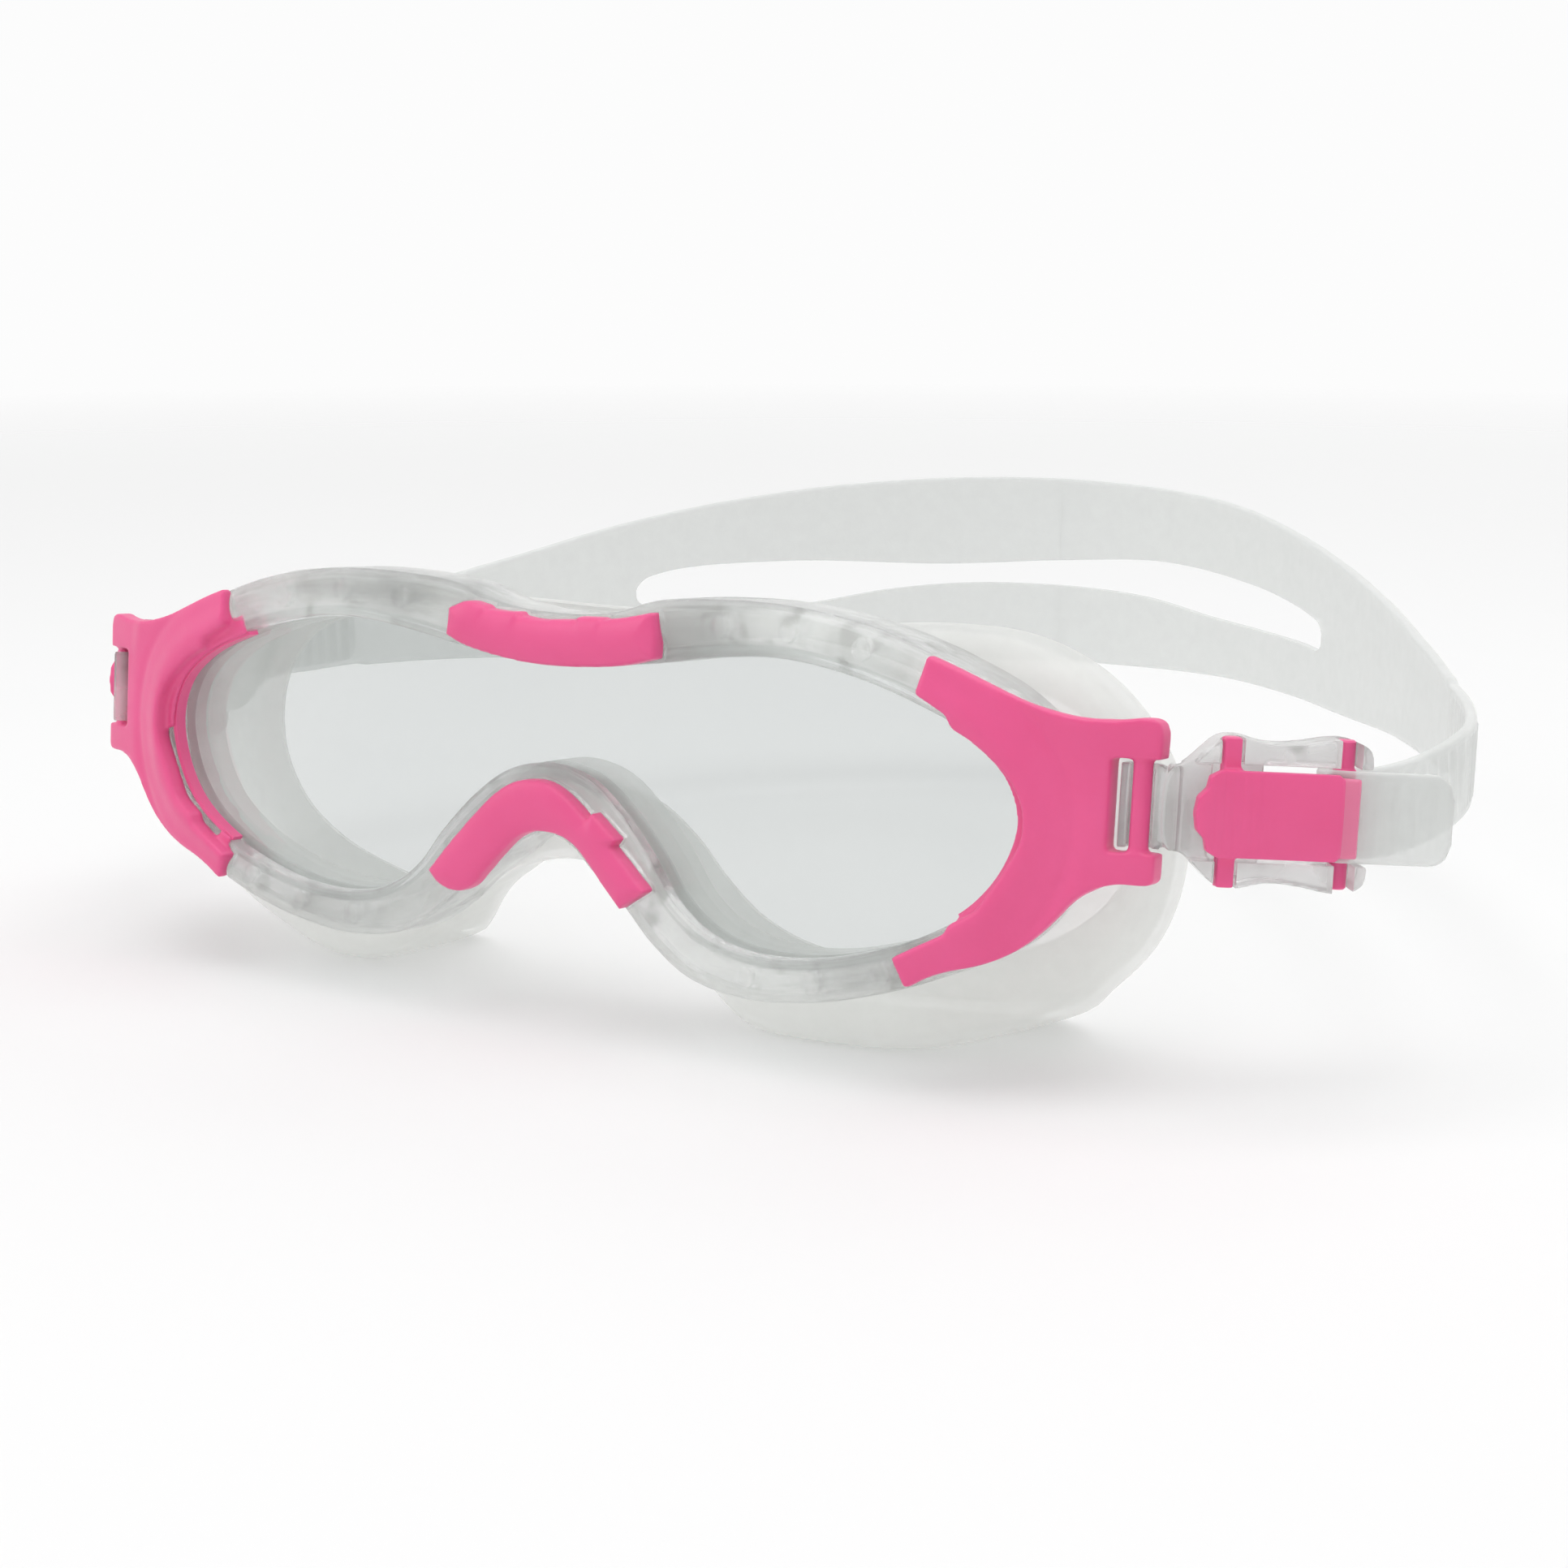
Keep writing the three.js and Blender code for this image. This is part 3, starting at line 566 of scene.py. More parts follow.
# ---------- materials ----------
class Nodes:
    def __init__(self, name):
        self.material = bpy.data.materials.new(name)
        self.material.use_nodes = True
        self.tree = self.material.node_tree
        self.tree.nodes.clear()
        self.place = self.add("ShaderNodeTexCoord").outputs["Object"]

    def add(self, kind, **values):
        node = self.tree.nodes.new(kind)
        for key, value in values.items():
            setattr(node, key, value)
        return node

    def put(self, socket, value):
        if isinstance(value, bpy.types.NodeSocket):
            self.tree.links.new(value, socket)
        else:
            socket.default_value = value

    def fill(self, node, **values):
        for key, value in values.items():
            self.put(node.inputs[key.replace("_", " ")], value)

    def noise(self, scale, detail, stretch=None):
        node = self.add("ShaderNodeTexNoise")
        place = self.place
        if stretch:
            scaled = self.add("ShaderNodeVectorMath", operation="MULTIPLY")
            self.put(scaled.inputs[0], place)
            self.put(scaled.inputs[1], stretch)
            place = scaled.outputs["Vector"]
        self.fill(node, Vector=place, Scale=scale, Detail=detail)
        return node.outputs["Fac"]

    def ranged(self, value, low, high, start=0.3, end=0.7):
        node = self.add("ShaderNodeMapRange")
        self.fill(node, Value=value, From_Min=start, From_Max=end, To_Min=low, To_Max=high)
        return node.outputs["Result"]

    def colours(self, value, first, second):
        node = self.add("ShaderNodeMix", data_type="RGBA")
        self.put(node.inputs["Factor"], value)
        self.put(node.inputs[6], (*first, 1) if isinstance(first, tuple) else first)
        self.put(node.inputs[7], (*second, 1))
        return node.outputs[2]

    def bump(self, height, distance, strength):
        node = self.add("ShaderNodeBump")
        self.fill(node, Height=height, Distance=distance, Strength=strength)
        return node.outputs["Normal"]

    def shader(self, **values):
        node = self.add("ShaderNodeBsdfPrincipled")
        self.fill(node, **values)
        return node.outputs["BSDF"]

    def clear(self, colour):
        node = self.add("ShaderNodeBsdfTransparent")
        self.put(node.inputs["Color"], colour if not isinstance(colour, tuple) else (*colour, 1))
        return node.outputs["BSDF"]

    def mix(self, factor, first, second):
        node = self.add("ShaderNodeMixShader")
        self.put(node.inputs["Fac"], factor)
        self.put(node.inputs[1], first)
        self.put(node.inputs[2], second)
        return node.outputs["Shader"]

    def show(self, shader, shade=None):
        """Ends the material. With a shade, light passes through it as through that tint."""
        if shade:
            light = self.add("ShaderNodeLightPath").outputs["Is Shadow Ray"]
            shader = self.mix(light, shader, self.clear(shade))
        out = self.add("ShaderNodeOutputMaterial")
        self.put(out.inputs["Surface"], shader)
        return self.material


def make_pink(name, first, second):
    n = Nodes(name)
    patches = n.ranged(n.noise(90, 4), 0, 1)
    colour = n.colours(patches, first, second)
    grain = n.noise(2600, 2)
    rough = n.ranged(n.noise(260, 4), 0.36, 0.46)
    shader = n.shader(
        Base_Color=colour, Roughness=rough, Normal=n.bump(grain, 0.00003, 0.6), IOR=1.5,
        Subsurface_Weight=0.12, Subsurface_Radius=(0.004, 0.0012, 0.0016), Subsurface_Scale=0.5,
        Sheen_Weight=0.06, Sheen_Roughness=0.5,
    )
    return n.show(shader)


def make_clear(name, painted_shade_below, painted_shade_above, bright, milk, open_share):
    """Clear moulded plastic with darker spots and painted shade: a grey tint in streaks,
    painted_shade_below low down and painted_shade_above higher up.
    """
    n = Nodes(name)
    rough = n.ranged(n.noise(140, 4), 0.06, 0.17)
    flow = n.noise(130, 3)
    # Painted shade: the streaks darken the tint in place of shaded parts and dark reflections seen
    # inside the plastic.
    streaks = n.ranged(n.noise(60, 3, stretch=(0.4, 1, 1.3)), 0, 1, 0.38, 0.6)
    # Painted shade that changes with height: the grey goes from the lower colour to the upper one
    # higher up.
    split = n.add("ShaderNodeSeparateXYZ")
    n.put(split.inputs[0], n.place)
    rise = n.ranged(split.outputs["Z"], 0, 1, 0.02, 0.05)
    tint = n.colours(streaks, n.colours(rise, painted_shade_below, painted_shade_above), bright)
    spots = n.ranged(n.noise(210, 2), 0, 1, 0.6, 0.7)
    tint = n.colours(spots, tint, (0.5, 0.5, 0.485))
    solid = n.shader(
        Base_Color=tint, Roughness=rough, IOR=1.38, Transmission_Weight=1 - milk,
        Normal=n.bump(flow, 0.0005, 0.35),
    )
    body = n.mix(open_share, solid, n.clear((0.95, 0.955, 0.95)))
    return n.show(body, (0.93, 0.94, 0.94))


def make_lens():
    """A thin tinted pane that shines where it is seen at a slant."""
    n = Nodes("lens_polycarbonate")
    rough = n.ranged(n.noise(55, 5), 0.015, 0.07)
    gloss = n.add("ShaderNodeBsdfGlossy")
    n.put(gloss.inputs["Roughness"], rough)
    n.put(gloss.inputs["Color"], (1, 1, 1, 1))
    slant = n.add("ShaderNodeLayerWeight")
    n.put(slant.inputs["Blend"], 0.1)
    tint = n.colours(n.ranged(n.noise(25, 3), 0, 1), (0.85, 0.864, 0.862), (0.86, 0.872, 0.869))
    seen = n.mix(slant.outputs["Facing"], n.clear(tint), gloss.outputs["BSDF"])
    return n.show(seen, (0.95, 0.955, 0.955))


def make_silicone(name, open_share, edge_share, shade, tint, dull, bright):
    """Milky see-through rubber, denser where its wall is seen at a slant."""
    n = Nodes(name)
    colour = n.colours(n.ranged(n.noise(500, 5), 0, 1), dull, bright)
    rough = n.ranged(n.noise(420, 4), 0.34, 0.5)
    grain = n.noise(2100, 3)
    milk = n.shader(
        Base_Color=colour, Roughness=rough, Normal=n.bump(grain, 0.00003, 0.5), IOR=1.41,
        Subsurface_Weight=0.35, Subsurface_Radius=(0.005, 0.005, 0.005), Subsurface_Scale=0.4,
        Specular_IOR_Level=0.4,
    )
    facing = n.add("ShaderNodeLayerWeight")
    n.put(facing.inputs["Blend"], 0.3)
    share = n.ranged(facing.outputs["Facing"], open_share, edge_share, 0, 1)
    seen = n.mix(share, n.clear(tint), milk)
    return n.show(seen, (shade, shade, shade))


PINK = make_pink("pink_tpr", (0.79, 0.085, 0.26), (0.83, 0.1, 0.29))
PALE_PINK = make_pink("pink_worn", (0.73, 0.18, 0.32), (0.77, 0.2, 0.34))
# The first two colours are painted shade. On the frame and ring it is darker towards the top; on the
# buckles it is even.
CLEAR = make_clear(
    "clear_plastic", (0.74, 0.745, 0.74), (0.46, 0.465, 0.46), (0.95, 0.955, 0.95), 0.16, 0.28,
)
CLEAR_BUCKLE = make_clear(
    "clear_buckle", (0.6, 0.6, 0.595), (0.6, 0.6, 0.595), (0.88, 0.88, 0.875), 0.3, 0.08,
)
LENS = make_lens()
SKIRT = make_silicone(
    "skirt_silicone", 0.27, 0.52, 0.88, (0.93, 0.936, 0.926), (0.875, 0.873, 0.865),
    (0.905, 0.903, 0.895),
)
BAND_SILICONE = make_silicone(
    "strap_silicone", 0.36, 0.8, 0.62, (0.9, 0.908, 0.902), (0.8, 0.81, 0.8), (0.83, 0.84, 0.83),
)

# ---------- mask ----------
opening = smooth_loop(OPENING)
frame_outer = smooth_loop(FRAME_OUTER)
wall_inside = offset(frame_outer, -BEZEL_WALL)


def mirrored(outline):
    return np.asarray(outline)[::-1] * (-1, 1)


wing_shape = drawn(WING)
brow_shape = drawn(BROW)
nose_shape = drawn(NOSE)


def build_lens():
    """The pane, cut into narrow upright strips so that it bends smoothly."""
    edge = offset(opening, LENS_OVERLAP)
    obj = prism("lens", flat(edge), LENS_FRONT, LENS_BACK)
    with edited(obj) as bm:
        for x in np.arange(-66, 66.1, LENS_STRIP):
            everything = bm.verts[:] + bm.edges[:] + bm.faces[:]
            bmesh.ops.bisect_plane(bm, geom=everything, plane_co=(x, 0, 0), plane_no=(1, 0, 0))
    points = bend(get_points(obj))
    finish_on_mask(obj, points, "lens_curved_pane", "lens", LENS)


# The front of the bezel across its width: share from the opening outward, and depth.
CROWN = [
    (0, 1.5), (0.02, 0.95), (0.07, 0.55), (0.14, 0.42), (0.2, 0.5), (0.27, 0.32), (0.4, -0.1),
    (0.55, -0.3), (0.7, -0.2), (0.83, 0.15), (0.93, 0.75), (0.985, 1.4), (1, 2.2),
]


def snap_rods(radius, front, back):
    """Bars where the snap posts stand, above and below on both sides, midway across the frame."""
    rods = []
    for station in (30, 40, 50, 130, 140, 150):
        for i in (station, -station):
            x, _, z = 0.46 * opening[i] + 0.54 * frame_outer[i]
            rods.append(rod(radius, x, z, front, back, axis="y", sides=20))
    return rods


def build_bezel():
    """The front frame, with seats for the trim and sockets for the snap posts."""
    sections = []
    for share, depth in spline(CROWN, 3):
        sections.append(straight(opening * (1 - share) + frame_outer * share, depth))
    sections += [
        straight(frame_outer, FRAME_BACK), straight(wall_inside, FRAME_BACK),
        straight(wall_inside, LIP_BACK), straight(opening, LIP_BACK),
    ]
    obj = ring_loft("bezel", sections)
    shapes = (wing_shape, mirrored(wing_shape), brow_shape, nose_shape)
    combine(obj, [prism("seat", grown(shape, GAP), -6, TRIM_SEAT) for shape in shapes])
    combine(obj, snap_rods(SOCKET_RADIUS, 1.5, 3.2))
    points = bend(get_points(obj))
    finish_on_mask(obj, points, "bezel_clear_frame", "front_bezel", CLEAR)


def build_retainer():
    inner = offset(opening, SKIRT_WALL + GAP)
    outer = offset(frame_outer, -(BEZEL_WALL + GAP + 0.1))
    sections = [
        straight(inner, RETAINER_FRONT + 0.3), straight(inner * 0.9 + outer * 0.1, RETAINER_FRONT),
        straight(inner * 0.1 + outer * 0.9, RETAINER_FRONT), straight(outer, RETAINER_FRONT + 0.3),
        straight(outer, FRAME_BACK - 0.3), straight(inner * 0.1 + outer * 0.9, FRAME_BACK),
        straight(inner * 0.9 + outer * 0.1, FRAME_BACK), straight(inner, FRAME_BACK - 0.3),
    ]
    obj = ring_loft("retainer", sections)
    combine(obj, snap_rods(POST_RADIUS, LENS_FRONT + 0.6, RETAINER_FRONT + 0.9), "UNION")
    points = bend(get_points(obj))
    finish_on_mask(obj, points, "retainer_clear_ring", "rear_retainer", CLEAR)


def pressed(loop, share):
    """Pushes up the lower edge around one place on the left."""
    p = loop.copy()
    away = (p[:, 0] - PRESSED["x"]) / PRESSED["spread"]
    p[:, 2] += np.where(p[:, 2] < 0, share * PRESSED["lift"] * np.exp(-away ** 2), 0)
    return p


def settle(points, lift):
    """Flattens what would go below the plane it rests on, without a crease."""
    world = leaned(points)
    floor = REST_PLANE + lift
    above = world[:, 2] - floor
    world[:, 2] = floor + (above + np.sqrt(above ** 2 + SETTLE_SOFT ** 2)) / 2
    return leaned(world, -LEAN)


def skirt_skin(inset):
    """Rows of stations from neck to lip, outside or a wall's depth inside, and the way outward."""
    fold = pressed(smooth_loop(SKIRT_FOLD), 1)
    lip = pressed(smooth_loop(SKIRT_LIP), 0.4)
    start = at_depth(opening, NECK_BACK)
    out = fold - start
    out[:, 1] = 0
    full = np.linalg.norm(out, axis=1)
    out /= full[:, None]
    y0 = start[:, 1]
    y1 = fold[:, 1]
    y2 = y1 + 3.2 + LOBE_DEPTH * smoothstep(-fold[:, 2], 19, 28)
    tip = lip + out * (0.2 if inset else 0.6)
    tip[:, 1] += -0.5 if inset else 0.4
    # Share of the way out and depth, from the neck to the lip.
    stops = [
        (0.66, y0 + 0.16 * (y1 - y0) + inset), (0.93, y0 + 0.42 * (y1 - y0) + inset * 0.5),
        (1, y1 - 2), (0.975, y2 - inset * 0.3),
        (0.86, (y2 + tip[:, 1]) / 2 + 1.6 - inset * 0.9),
    ]
    rows = []
    for share, y in stops:
        p = start + out * (share * (full - inset))[:, None]
        p[:, 1] = y
        rows.append(p)
    rows.append(tip)
    return [settle(p, inset) for p in rows], out


def build_skirt():
    """The skirt: a flange behind the lens, a wall out to a fold, and a soft lip turned in."""
    flange = offset(opening, LENS_OVERLAP + 0.2)
    neck = offset(opening, SKIRT_WALL)
    outside, out = skirt_skin(0)
    inner, _ = skirt_skin(SKIRT_WALL)
    outside.insert(0, at_depth(neck, NECK_BACK))
    inner.reverse()
    inner.append(at_depth(opening, NECK_BACK + SKIRT_WALL))
    outer_rows = [settle(p, 0) for p in spline(outside, 5)]
    inner_rows = [settle(p, SKIRT_WALL) for p in spline(inner, 5)]
    rounding = (outer_rows[-1] + inner_rows[0]) / 2 - out * 0.35
    sections = [
        at_depth(opening, FLANGE_FRONT), at_depth(flange, FLANGE_FRONT),
        at_depth(flange, FLANGE_BACK), at_depth(neck, FLANGE_BACK),
        *outer_rows, rounding, *inner_rows,
    ]
    obj = ring_loft("skirt", sections)
    finish_on_mask(obj, get_points(obj), "skirt_soft_seal", "face_skirt", SKIRT)


# ---------- trim ----------
def front_share(points):
    """1 on the front face of a trim piece, falling to 0 at the middle of its thickness."""
    middle = (TRIM_FRONT + TRIM_BACK) / 2
    return np.clip((middle - points[:, 1]) / (middle - TRIM_FRONT), 0, 1)


def dome(points, outline, amount, width):
    """Raises the front of a trim piece towards the middle of its width."""
    away = np.minimum(distance_to(flat(points), outline) / width, 1)
    points[:, 1] -= front_share(points) * amount * np.sqrt(1 - (1 - away) ** 2)
    return points


def build_clip(shape, name, node, amount, width):
    obj = moulded(prism(name, shape, TRIM_FRONT, TRIM_BACK), 0.25, 5)
    points = bend(dome(get_points(obj), shape, amount, width))
    finish_on_mask(obj, points, name, node, PINK)


def wing_lip(side):
    """The thin wall that runs back from the wing along the end of the eye opening."""
    upper, lower = LIP_ENDS[side]
    front = LIP_FRONT[side]
    outer = offset(opening, -0.02)
    inner = offset(opening, -LIP_WALL)
    widest = int(np.argmax(opening[:, 0]))
    start = next(i for i in range(widest) if opening[i, 0] > upper)
    stop = next(i for i in range(widest, len(opening)) if opening[i, 0] < lower)
    corners = [
        (outer, front - 0.1), (inner, front + 0.1), (inner, LENS_FRONT - 0.15),
        (outer, LENS_FRONT - 0.15),
    ]
    grid = np.stack([straight(loop, depth)[start:stop] for loop, depth in corners], 1)
    return open_loft("lip", grid)


def wing_webs(side):
    """What joins the lip to the wing: from its upper end down to WEB_LOW, and at its lower end."""
    upper, lower = LIP_ENDS[side]
    corners = [(-0.4, 0.3), (2.4, 0.3), (2.4, 1.1), (-0.4, 1.1)]  # reach outward and depth
    x, z = opening[:, 0], opening[:, 2]
    high = (x > upper) & (z > WEB_LOW[side])
    low = (x > lower) & (x < lower + 2.5) & (z < 0)
    webs = []
    for chosen in (high, low):
        rings = [straight(offset(opening, reach), depth)[chosen] for reach, depth in corners]
        webs.append(open_loft("web", np.stack(rings, 1)))
    return webs


def build_wing(side):
    """A wing with its thick tab, the slot and hinge bar in it, and the lip behind."""
    tab = [p for p in wing_shape if p[0] >= 71.5]
    obj = merge(
        prism("wing", wing_shape, TRIM_FRONT, TRIM_BACK), [prism("tab", tab, TRIM_FRONT, 2.0)],
    )
    merge(obj, wing_webs(side))
    slot = block((SLOT["x"], 90), (-9, 9), (SLOT["low"], SLOT["high"]))
    moulded(obj, 0.3, 0)
    combine(obj, [slot])
    bar = rod(BAR_RADIUS, BAR_X, BAR_DEPTH, SLOT["low"] - 0.6, SLOT["high"] + 0.6)
    obj = moulded(merge(obj, [bar]), 0.28, 7)
    shape_wing(obj)
    merge(obj, [wing_lip(side)])
    points = bend(get_points(obj))
    turned = side == "left"
    if turned:
        points[:, 0] *= -1
    finish_on_mask(obj, points, "wing_" + side, side + "_wing", PINK, turned)


def shape_wing(obj):
    """The crown along the wing's arms, the crease at the frame's edge and the rise of the tab."""
    points = get_points(obj)
    plan = flat(points)
    edge = flat(frame_outer)
    away = distance_to(plan, edge[::2]) * np.where(inside(plan, edge), -1, 1)
    crown = 0.85 * np.exp(-((away + 4.4) / 2.3) ** 2)
    crease = -0.28 * np.exp(-((away - 0.6) / 0.9) ** 2)
    rise = 0.35 * smoothstep(away, 1.5, 5) * (1 - smoothstep(plan[:, 0], 70, 73))
    points[:, 1] -= front_share(points) * (crown + crease + rise)
    set_points(obj, points)


# ---------- buckles ----------
def both_sides(edge):
    other = [(u, -w) for u, w in edge if w > 0]
    return list(edge) + other[::-1]


def put_in_buckle(obj, side, name, body, node, material):
    points = leaned(buckle_to_mask(get_points(obj), side))
    place(obj, points, turned=side == "left")
    finish_piece(obj, name, body, node, material)


def build_buckle(side):
    """Two side walls with a floor between them near the hook, and seats for two pins."""
    obj = prism("buckle", rounded(both_sides(BUCKLE_EDGE)), BUCKLE_FRONT, BUCKLE_BACK)
    # The pocket for lever and strap, the opening behind it, and room before and behind the hook.
    cuts = [
        block((7.6, 40), (-9, 1.4), POCKET), block((14, 40), (1, 9), POCKET),
        block((1, 9), (-9, -1.6), POCKET), block((1, 4.6), (1.2, 9), (-9, 9)),
    ]
    combine(obj, cuts)
    turn = np.radians(np.linspace(-25, 185, 40))
    ring = [(HOOK_OUTER * math.cos(a), HOOK_OUTER * math.sin(a)) for a in turn]
    ring += [(HOOK_INNER * math.cos(a), HOOK_INNER * math.sin(a)) for a in turn[::-1]]
    hook = prism("hook", ring, -HOOK_HALF, HOOK_HALF, axis="z")
    moulded(merge(obj, [hook]), 0.24, 5)
    # A round seat and a way in from the front for the lever's axle and for the roller.
    seats = [
        rod(AXLE_SEAT, LEVER_ALONG, LEVER_DEPTH, -20, 20),
        rod(ROLLER_SEAT, ROLLER_ALONG, 0, -20, 20),
        block((LEVER_ALONG - 1.3, LEVER_ALONG + 1.3), (-9, LEVER_DEPTH), (-20, 20)),
        block((ROLLER_ALONG - 1.2, ROLLER_ALONG + 1.2), (-9, 0), (-20, 20)),
    ]
    combine(obj, seats)
    put_in_buckle(obj, side, "buckle_body_" + side, side + "_buckle", side + "_buckle_body",
                  CLEAR_BUCKLE)


def shape_lever(points):
    """The grip ridges, the raised tip and the crown of the lever's front face."""
    along, depth, across = points.T
    front = depth < LEVER_FRONT + 0.4
    wave = np.maximum(0, np.cos(2 * math.pi * (along - 7.4) / RIDGE_PITCH)) ** 2
    ridged = smoothstep(along, 6.8, 7.2) * (1 - smoothstep(along, 13.4, 13.8))
    ridges = 0.07 * wave * ridged * (np.abs(across) < 4.3)
    tip = 0.55 * (1 - smoothstep(along, 6, 9.5))
    crown = 0.35 * (1 - (across / LEVER_HALF) ** 2) * (np.abs(across) < LEVER_HALF)
    points[:, 1] += front * (ridges - tip - crown)
    return points


def build_lever(side):
    """A plate with two stub axles. Its end past LEVER_LINE lies lower and is paler."""
    obj = prism("lever", both_sides(LEVER_EDGE), LEVER_FRONT, LEVER_BACK)
    near = (LEVER_ALONG - 1, LEVER_ALONG + 1)
    arm = block(near, (LEVER_FRONT + 0.4, LEVER_DEPTH), (-LEVER_HALF, LEVER_HALF))
    axle = rod(PIN_RADIUS, LEVER_ALONG, LEVER_DEPTH, -PIN_HALF, PIN_HALF)
    tongue = block(near, (-3.3, LEVER_DEPTH), (-PIN_HALF, PIN_HALF))
    step = block((LEVER_LINE, 30), (-9, LEVER_FRONT + 0.35), (-9, 9))
    combine(obj, [step])
    moulded(merge(obj, [arm, axle, tongue]), 0.22, 4)
    points = shape_lever(get_points(obj))
    set_points(obj, points)
    put_in_buckle(obj, side, "lock_lever_" + side, side + "_lever", side + "_lock_lever",
                  PINK)
    obj.data.materials.append(PALE_PINK)
    faces = obj.data.polygons
    ends = [points[list(f.vertices), 0].mean() > LEVER_LINE + 0.2 for f in faces]
    faces.foreach_set("material_index", np.array(ends, int))


def build_roller(side):
    """The roller between its two thinner ends, turned from half a profile of radius and height."""
    upper = [
        (ROLLER_RADIUS, 5.05), (1.2, 5.2), (JOURNAL, 5.4), (JOURNAL, 8.3), (0.9, PIN_HALF),
        (0, PIN_HALF),
    ]
    profile = [(r, -h) for r, h in upper[::-1]] + upper
    sides = 48
    turn = turns(sides)
    points = [(ROLLER_ALONG, 0, profile[0][1])]
    for r, h in profile[1:-1]:
        points += [(ROLLER_ALONG + r * math.cos(a), r * math.sin(a), h) for a in turn]
    points.append((ROLLER_ALONG, 0, profile[-1][1]))
    faces = []
    rings = len(profile) - 2
    for k in range(sides):
        m = (k + 1) % sides
        faces.append((0, 1 + m, 1 + k))
        for i in range(rings - 1):
            a = 1 + i * sides
            faces.append((a + k, a + m, a + sides + m, a + sides + k))
        last = 1 + (rings - 1) * sides
        faces.append((last + k, last + m, len(points) - 1))
    obj = mesh_object("roller", points, faces)
    put_in_buckle(obj, side, "strap_roller_" + side, side + "_roller", side + "_strap_roller",
                  PINK)


# ---------- head strap ----------
def in_buckle(side, along, depth):
    return leaned(buckle_to_mask([(along, depth, 0)], side))[0]


def wrap(side, lead):
    """The strap's way round a roller, from the loop to the tail, with a straight lead."""
    points = [in_buckle(side, ROLLER_ALONG + lead, WRAP_RADIUS)]
    for a in np.linspace(math.pi / 2, 1.5 * math.pi, 17):
        points.append(in_buckle(side, ROLLER_ALONG + WRAP_RADIUS * math.cos(a),
                                WRAP_RADIUS * math.sin(a)))
    return points


def height(y):
    """Rise of the strap above the middle of the mask, the further back the higher."""
    i = max(0, min(len(LOOP_RISE) - 2, sum(1 for row in LOOP_RISE if row[0] <= y) - 1))
    (y0, z0), (y1, z1) = LOOP_RISE[i], LOOP_RISE[i + 1]
    return z0 + (z1 - z0) * smoothstep(y, y0, y1)


def even(points):
    """A smooth curve through points, resampled at an even step."""
    dense = spline(points, 40)
    run = run_along(dense)
    count = max(2, round(run[-1] / STEP))
    wanted = np.linspace(0, run[-1], count + 1)
    return np.stack([np.interp(wanted, run, dense[:, k]) for k in range(3)], 1)


def strap_path():
    """The strap's middle line from the right tail round the back to the left tail."""
    right = wrap("right", 4)
    left = wrap("left", 5)
    loop = [(x, y, height(y)) for x, y in LOOP_PLAN]
    middle = even([right[1], right[0], *loop, left[0], left[1]])
    tail = [in_buckle("right", ROLLER_ALONG + u, -WRAP_RADIUS) for u in (RIGHT_TAIL, 6, 0)]
    tail = even(tail)[:-1]
    end = [(x, y, height(y) - 0.4) for x, y in LEFT_TAIL]
    start = in_buckle("left", ROLLER_ALONG + 5, -WRAP_RADIUS)
    far = even([left[-1], start, *end])[1:]
    first = np.array(right[2:-1])[::-1]
    # The wrap runs from the tail side round to the loop side at the right-hand roller.
    points = np.concatenate([tail, [right[-1]], first, middle, np.array(left[2:]), far])
    loop_start = len(tail) + 1 + len(first)
    return points, loop_start, len(middle)


def strap_frames():
    """Places, directions across and out of the band, and distances from its middle."""
    points, loop_start, loop_count = strap_path()
    run = run_along(points)
    begin = run[loop_start]
    length = run[loop_start + loop_count - 1] - begin
    middle = begin + MIDDLE_AT * length
    along = unit(np.gradient(points, axis=0))
    axis = leaned([(0, 0, 1)])[0]
    turn = smoothstep(np.minimum(run - begin, begin + length - run), 8, 70)[:, None]
    across = axis * (1 - turn) + np.array([0, 0, 1]) * turn
    across = unit(across - along * (across * along).sum(1, keepdims=True))
    normal = np.cross(along, across)
    return points, across, normal, run - middle


def past_shoulder(d):
    """How far a place lies beyond the nearer shoulder, towards its buckle."""
    return np.maximum(SHOULDERS[0] - d, d - SHOULDERS[1])


def rib(d):
    """Extra thickness of the cross ribs on the narrow ends."""
    wave = 0.5 - 0.5 * np.cos(2 * math.pi * d / RIB_PITCH)
    return RIB_HEIGHT * wave ** 2 * smoothstep(past_shoulder(d), 1, 3)


def band_edges(d):
    """Upper and lower edge of the whole band: wide, then a shoulder down to the narrow ends."""
    narrow = smoothstep(past_shoulder(d), 0, 2.5)
    top = along_table(BAND_TOP, d) * (1 - narrow) + NARROW * narrow
    low = along_table(BAND_LOW, d) * (1 - narrow) - NARROW * narrow
    cap = 2.4
    for end in (d[0], d[-1]):
        left = np.clip(np.abs(end - d), 0, cap)
        cut = cap - np.sqrt(cap ** 2 - (cap - left) ** 2)
        top = top - cut
        low = low + cut
    return top, low


def slit_edges(d):
    """Upper and lower edge of the slit, with round ends."""
    top = along_table(SLIT_TOP, d)
    low = along_table(SLIT_LOW, d)
    left = np.clip(np.minimum(d - SLIT_ENDS[0], SLIT_ENDS[1] - d), 0, SLIT_CAP)
    share = np.sqrt(1 - (1 - left / SLIT_CAP) ** 2)
    centre = (top + low) / 2
    half = (top - low) / 2 * share
    return centre + half, centre - half


# The band's rounded edge and the rim just inside it: distance in and change of half thickness.
EDGE_TURN = np.linspace(0, math.pi / 2, 5)
EDGE_RADIUS = 0.42
RIM = [(0.9, 0.0), (1.25, -0.13)]


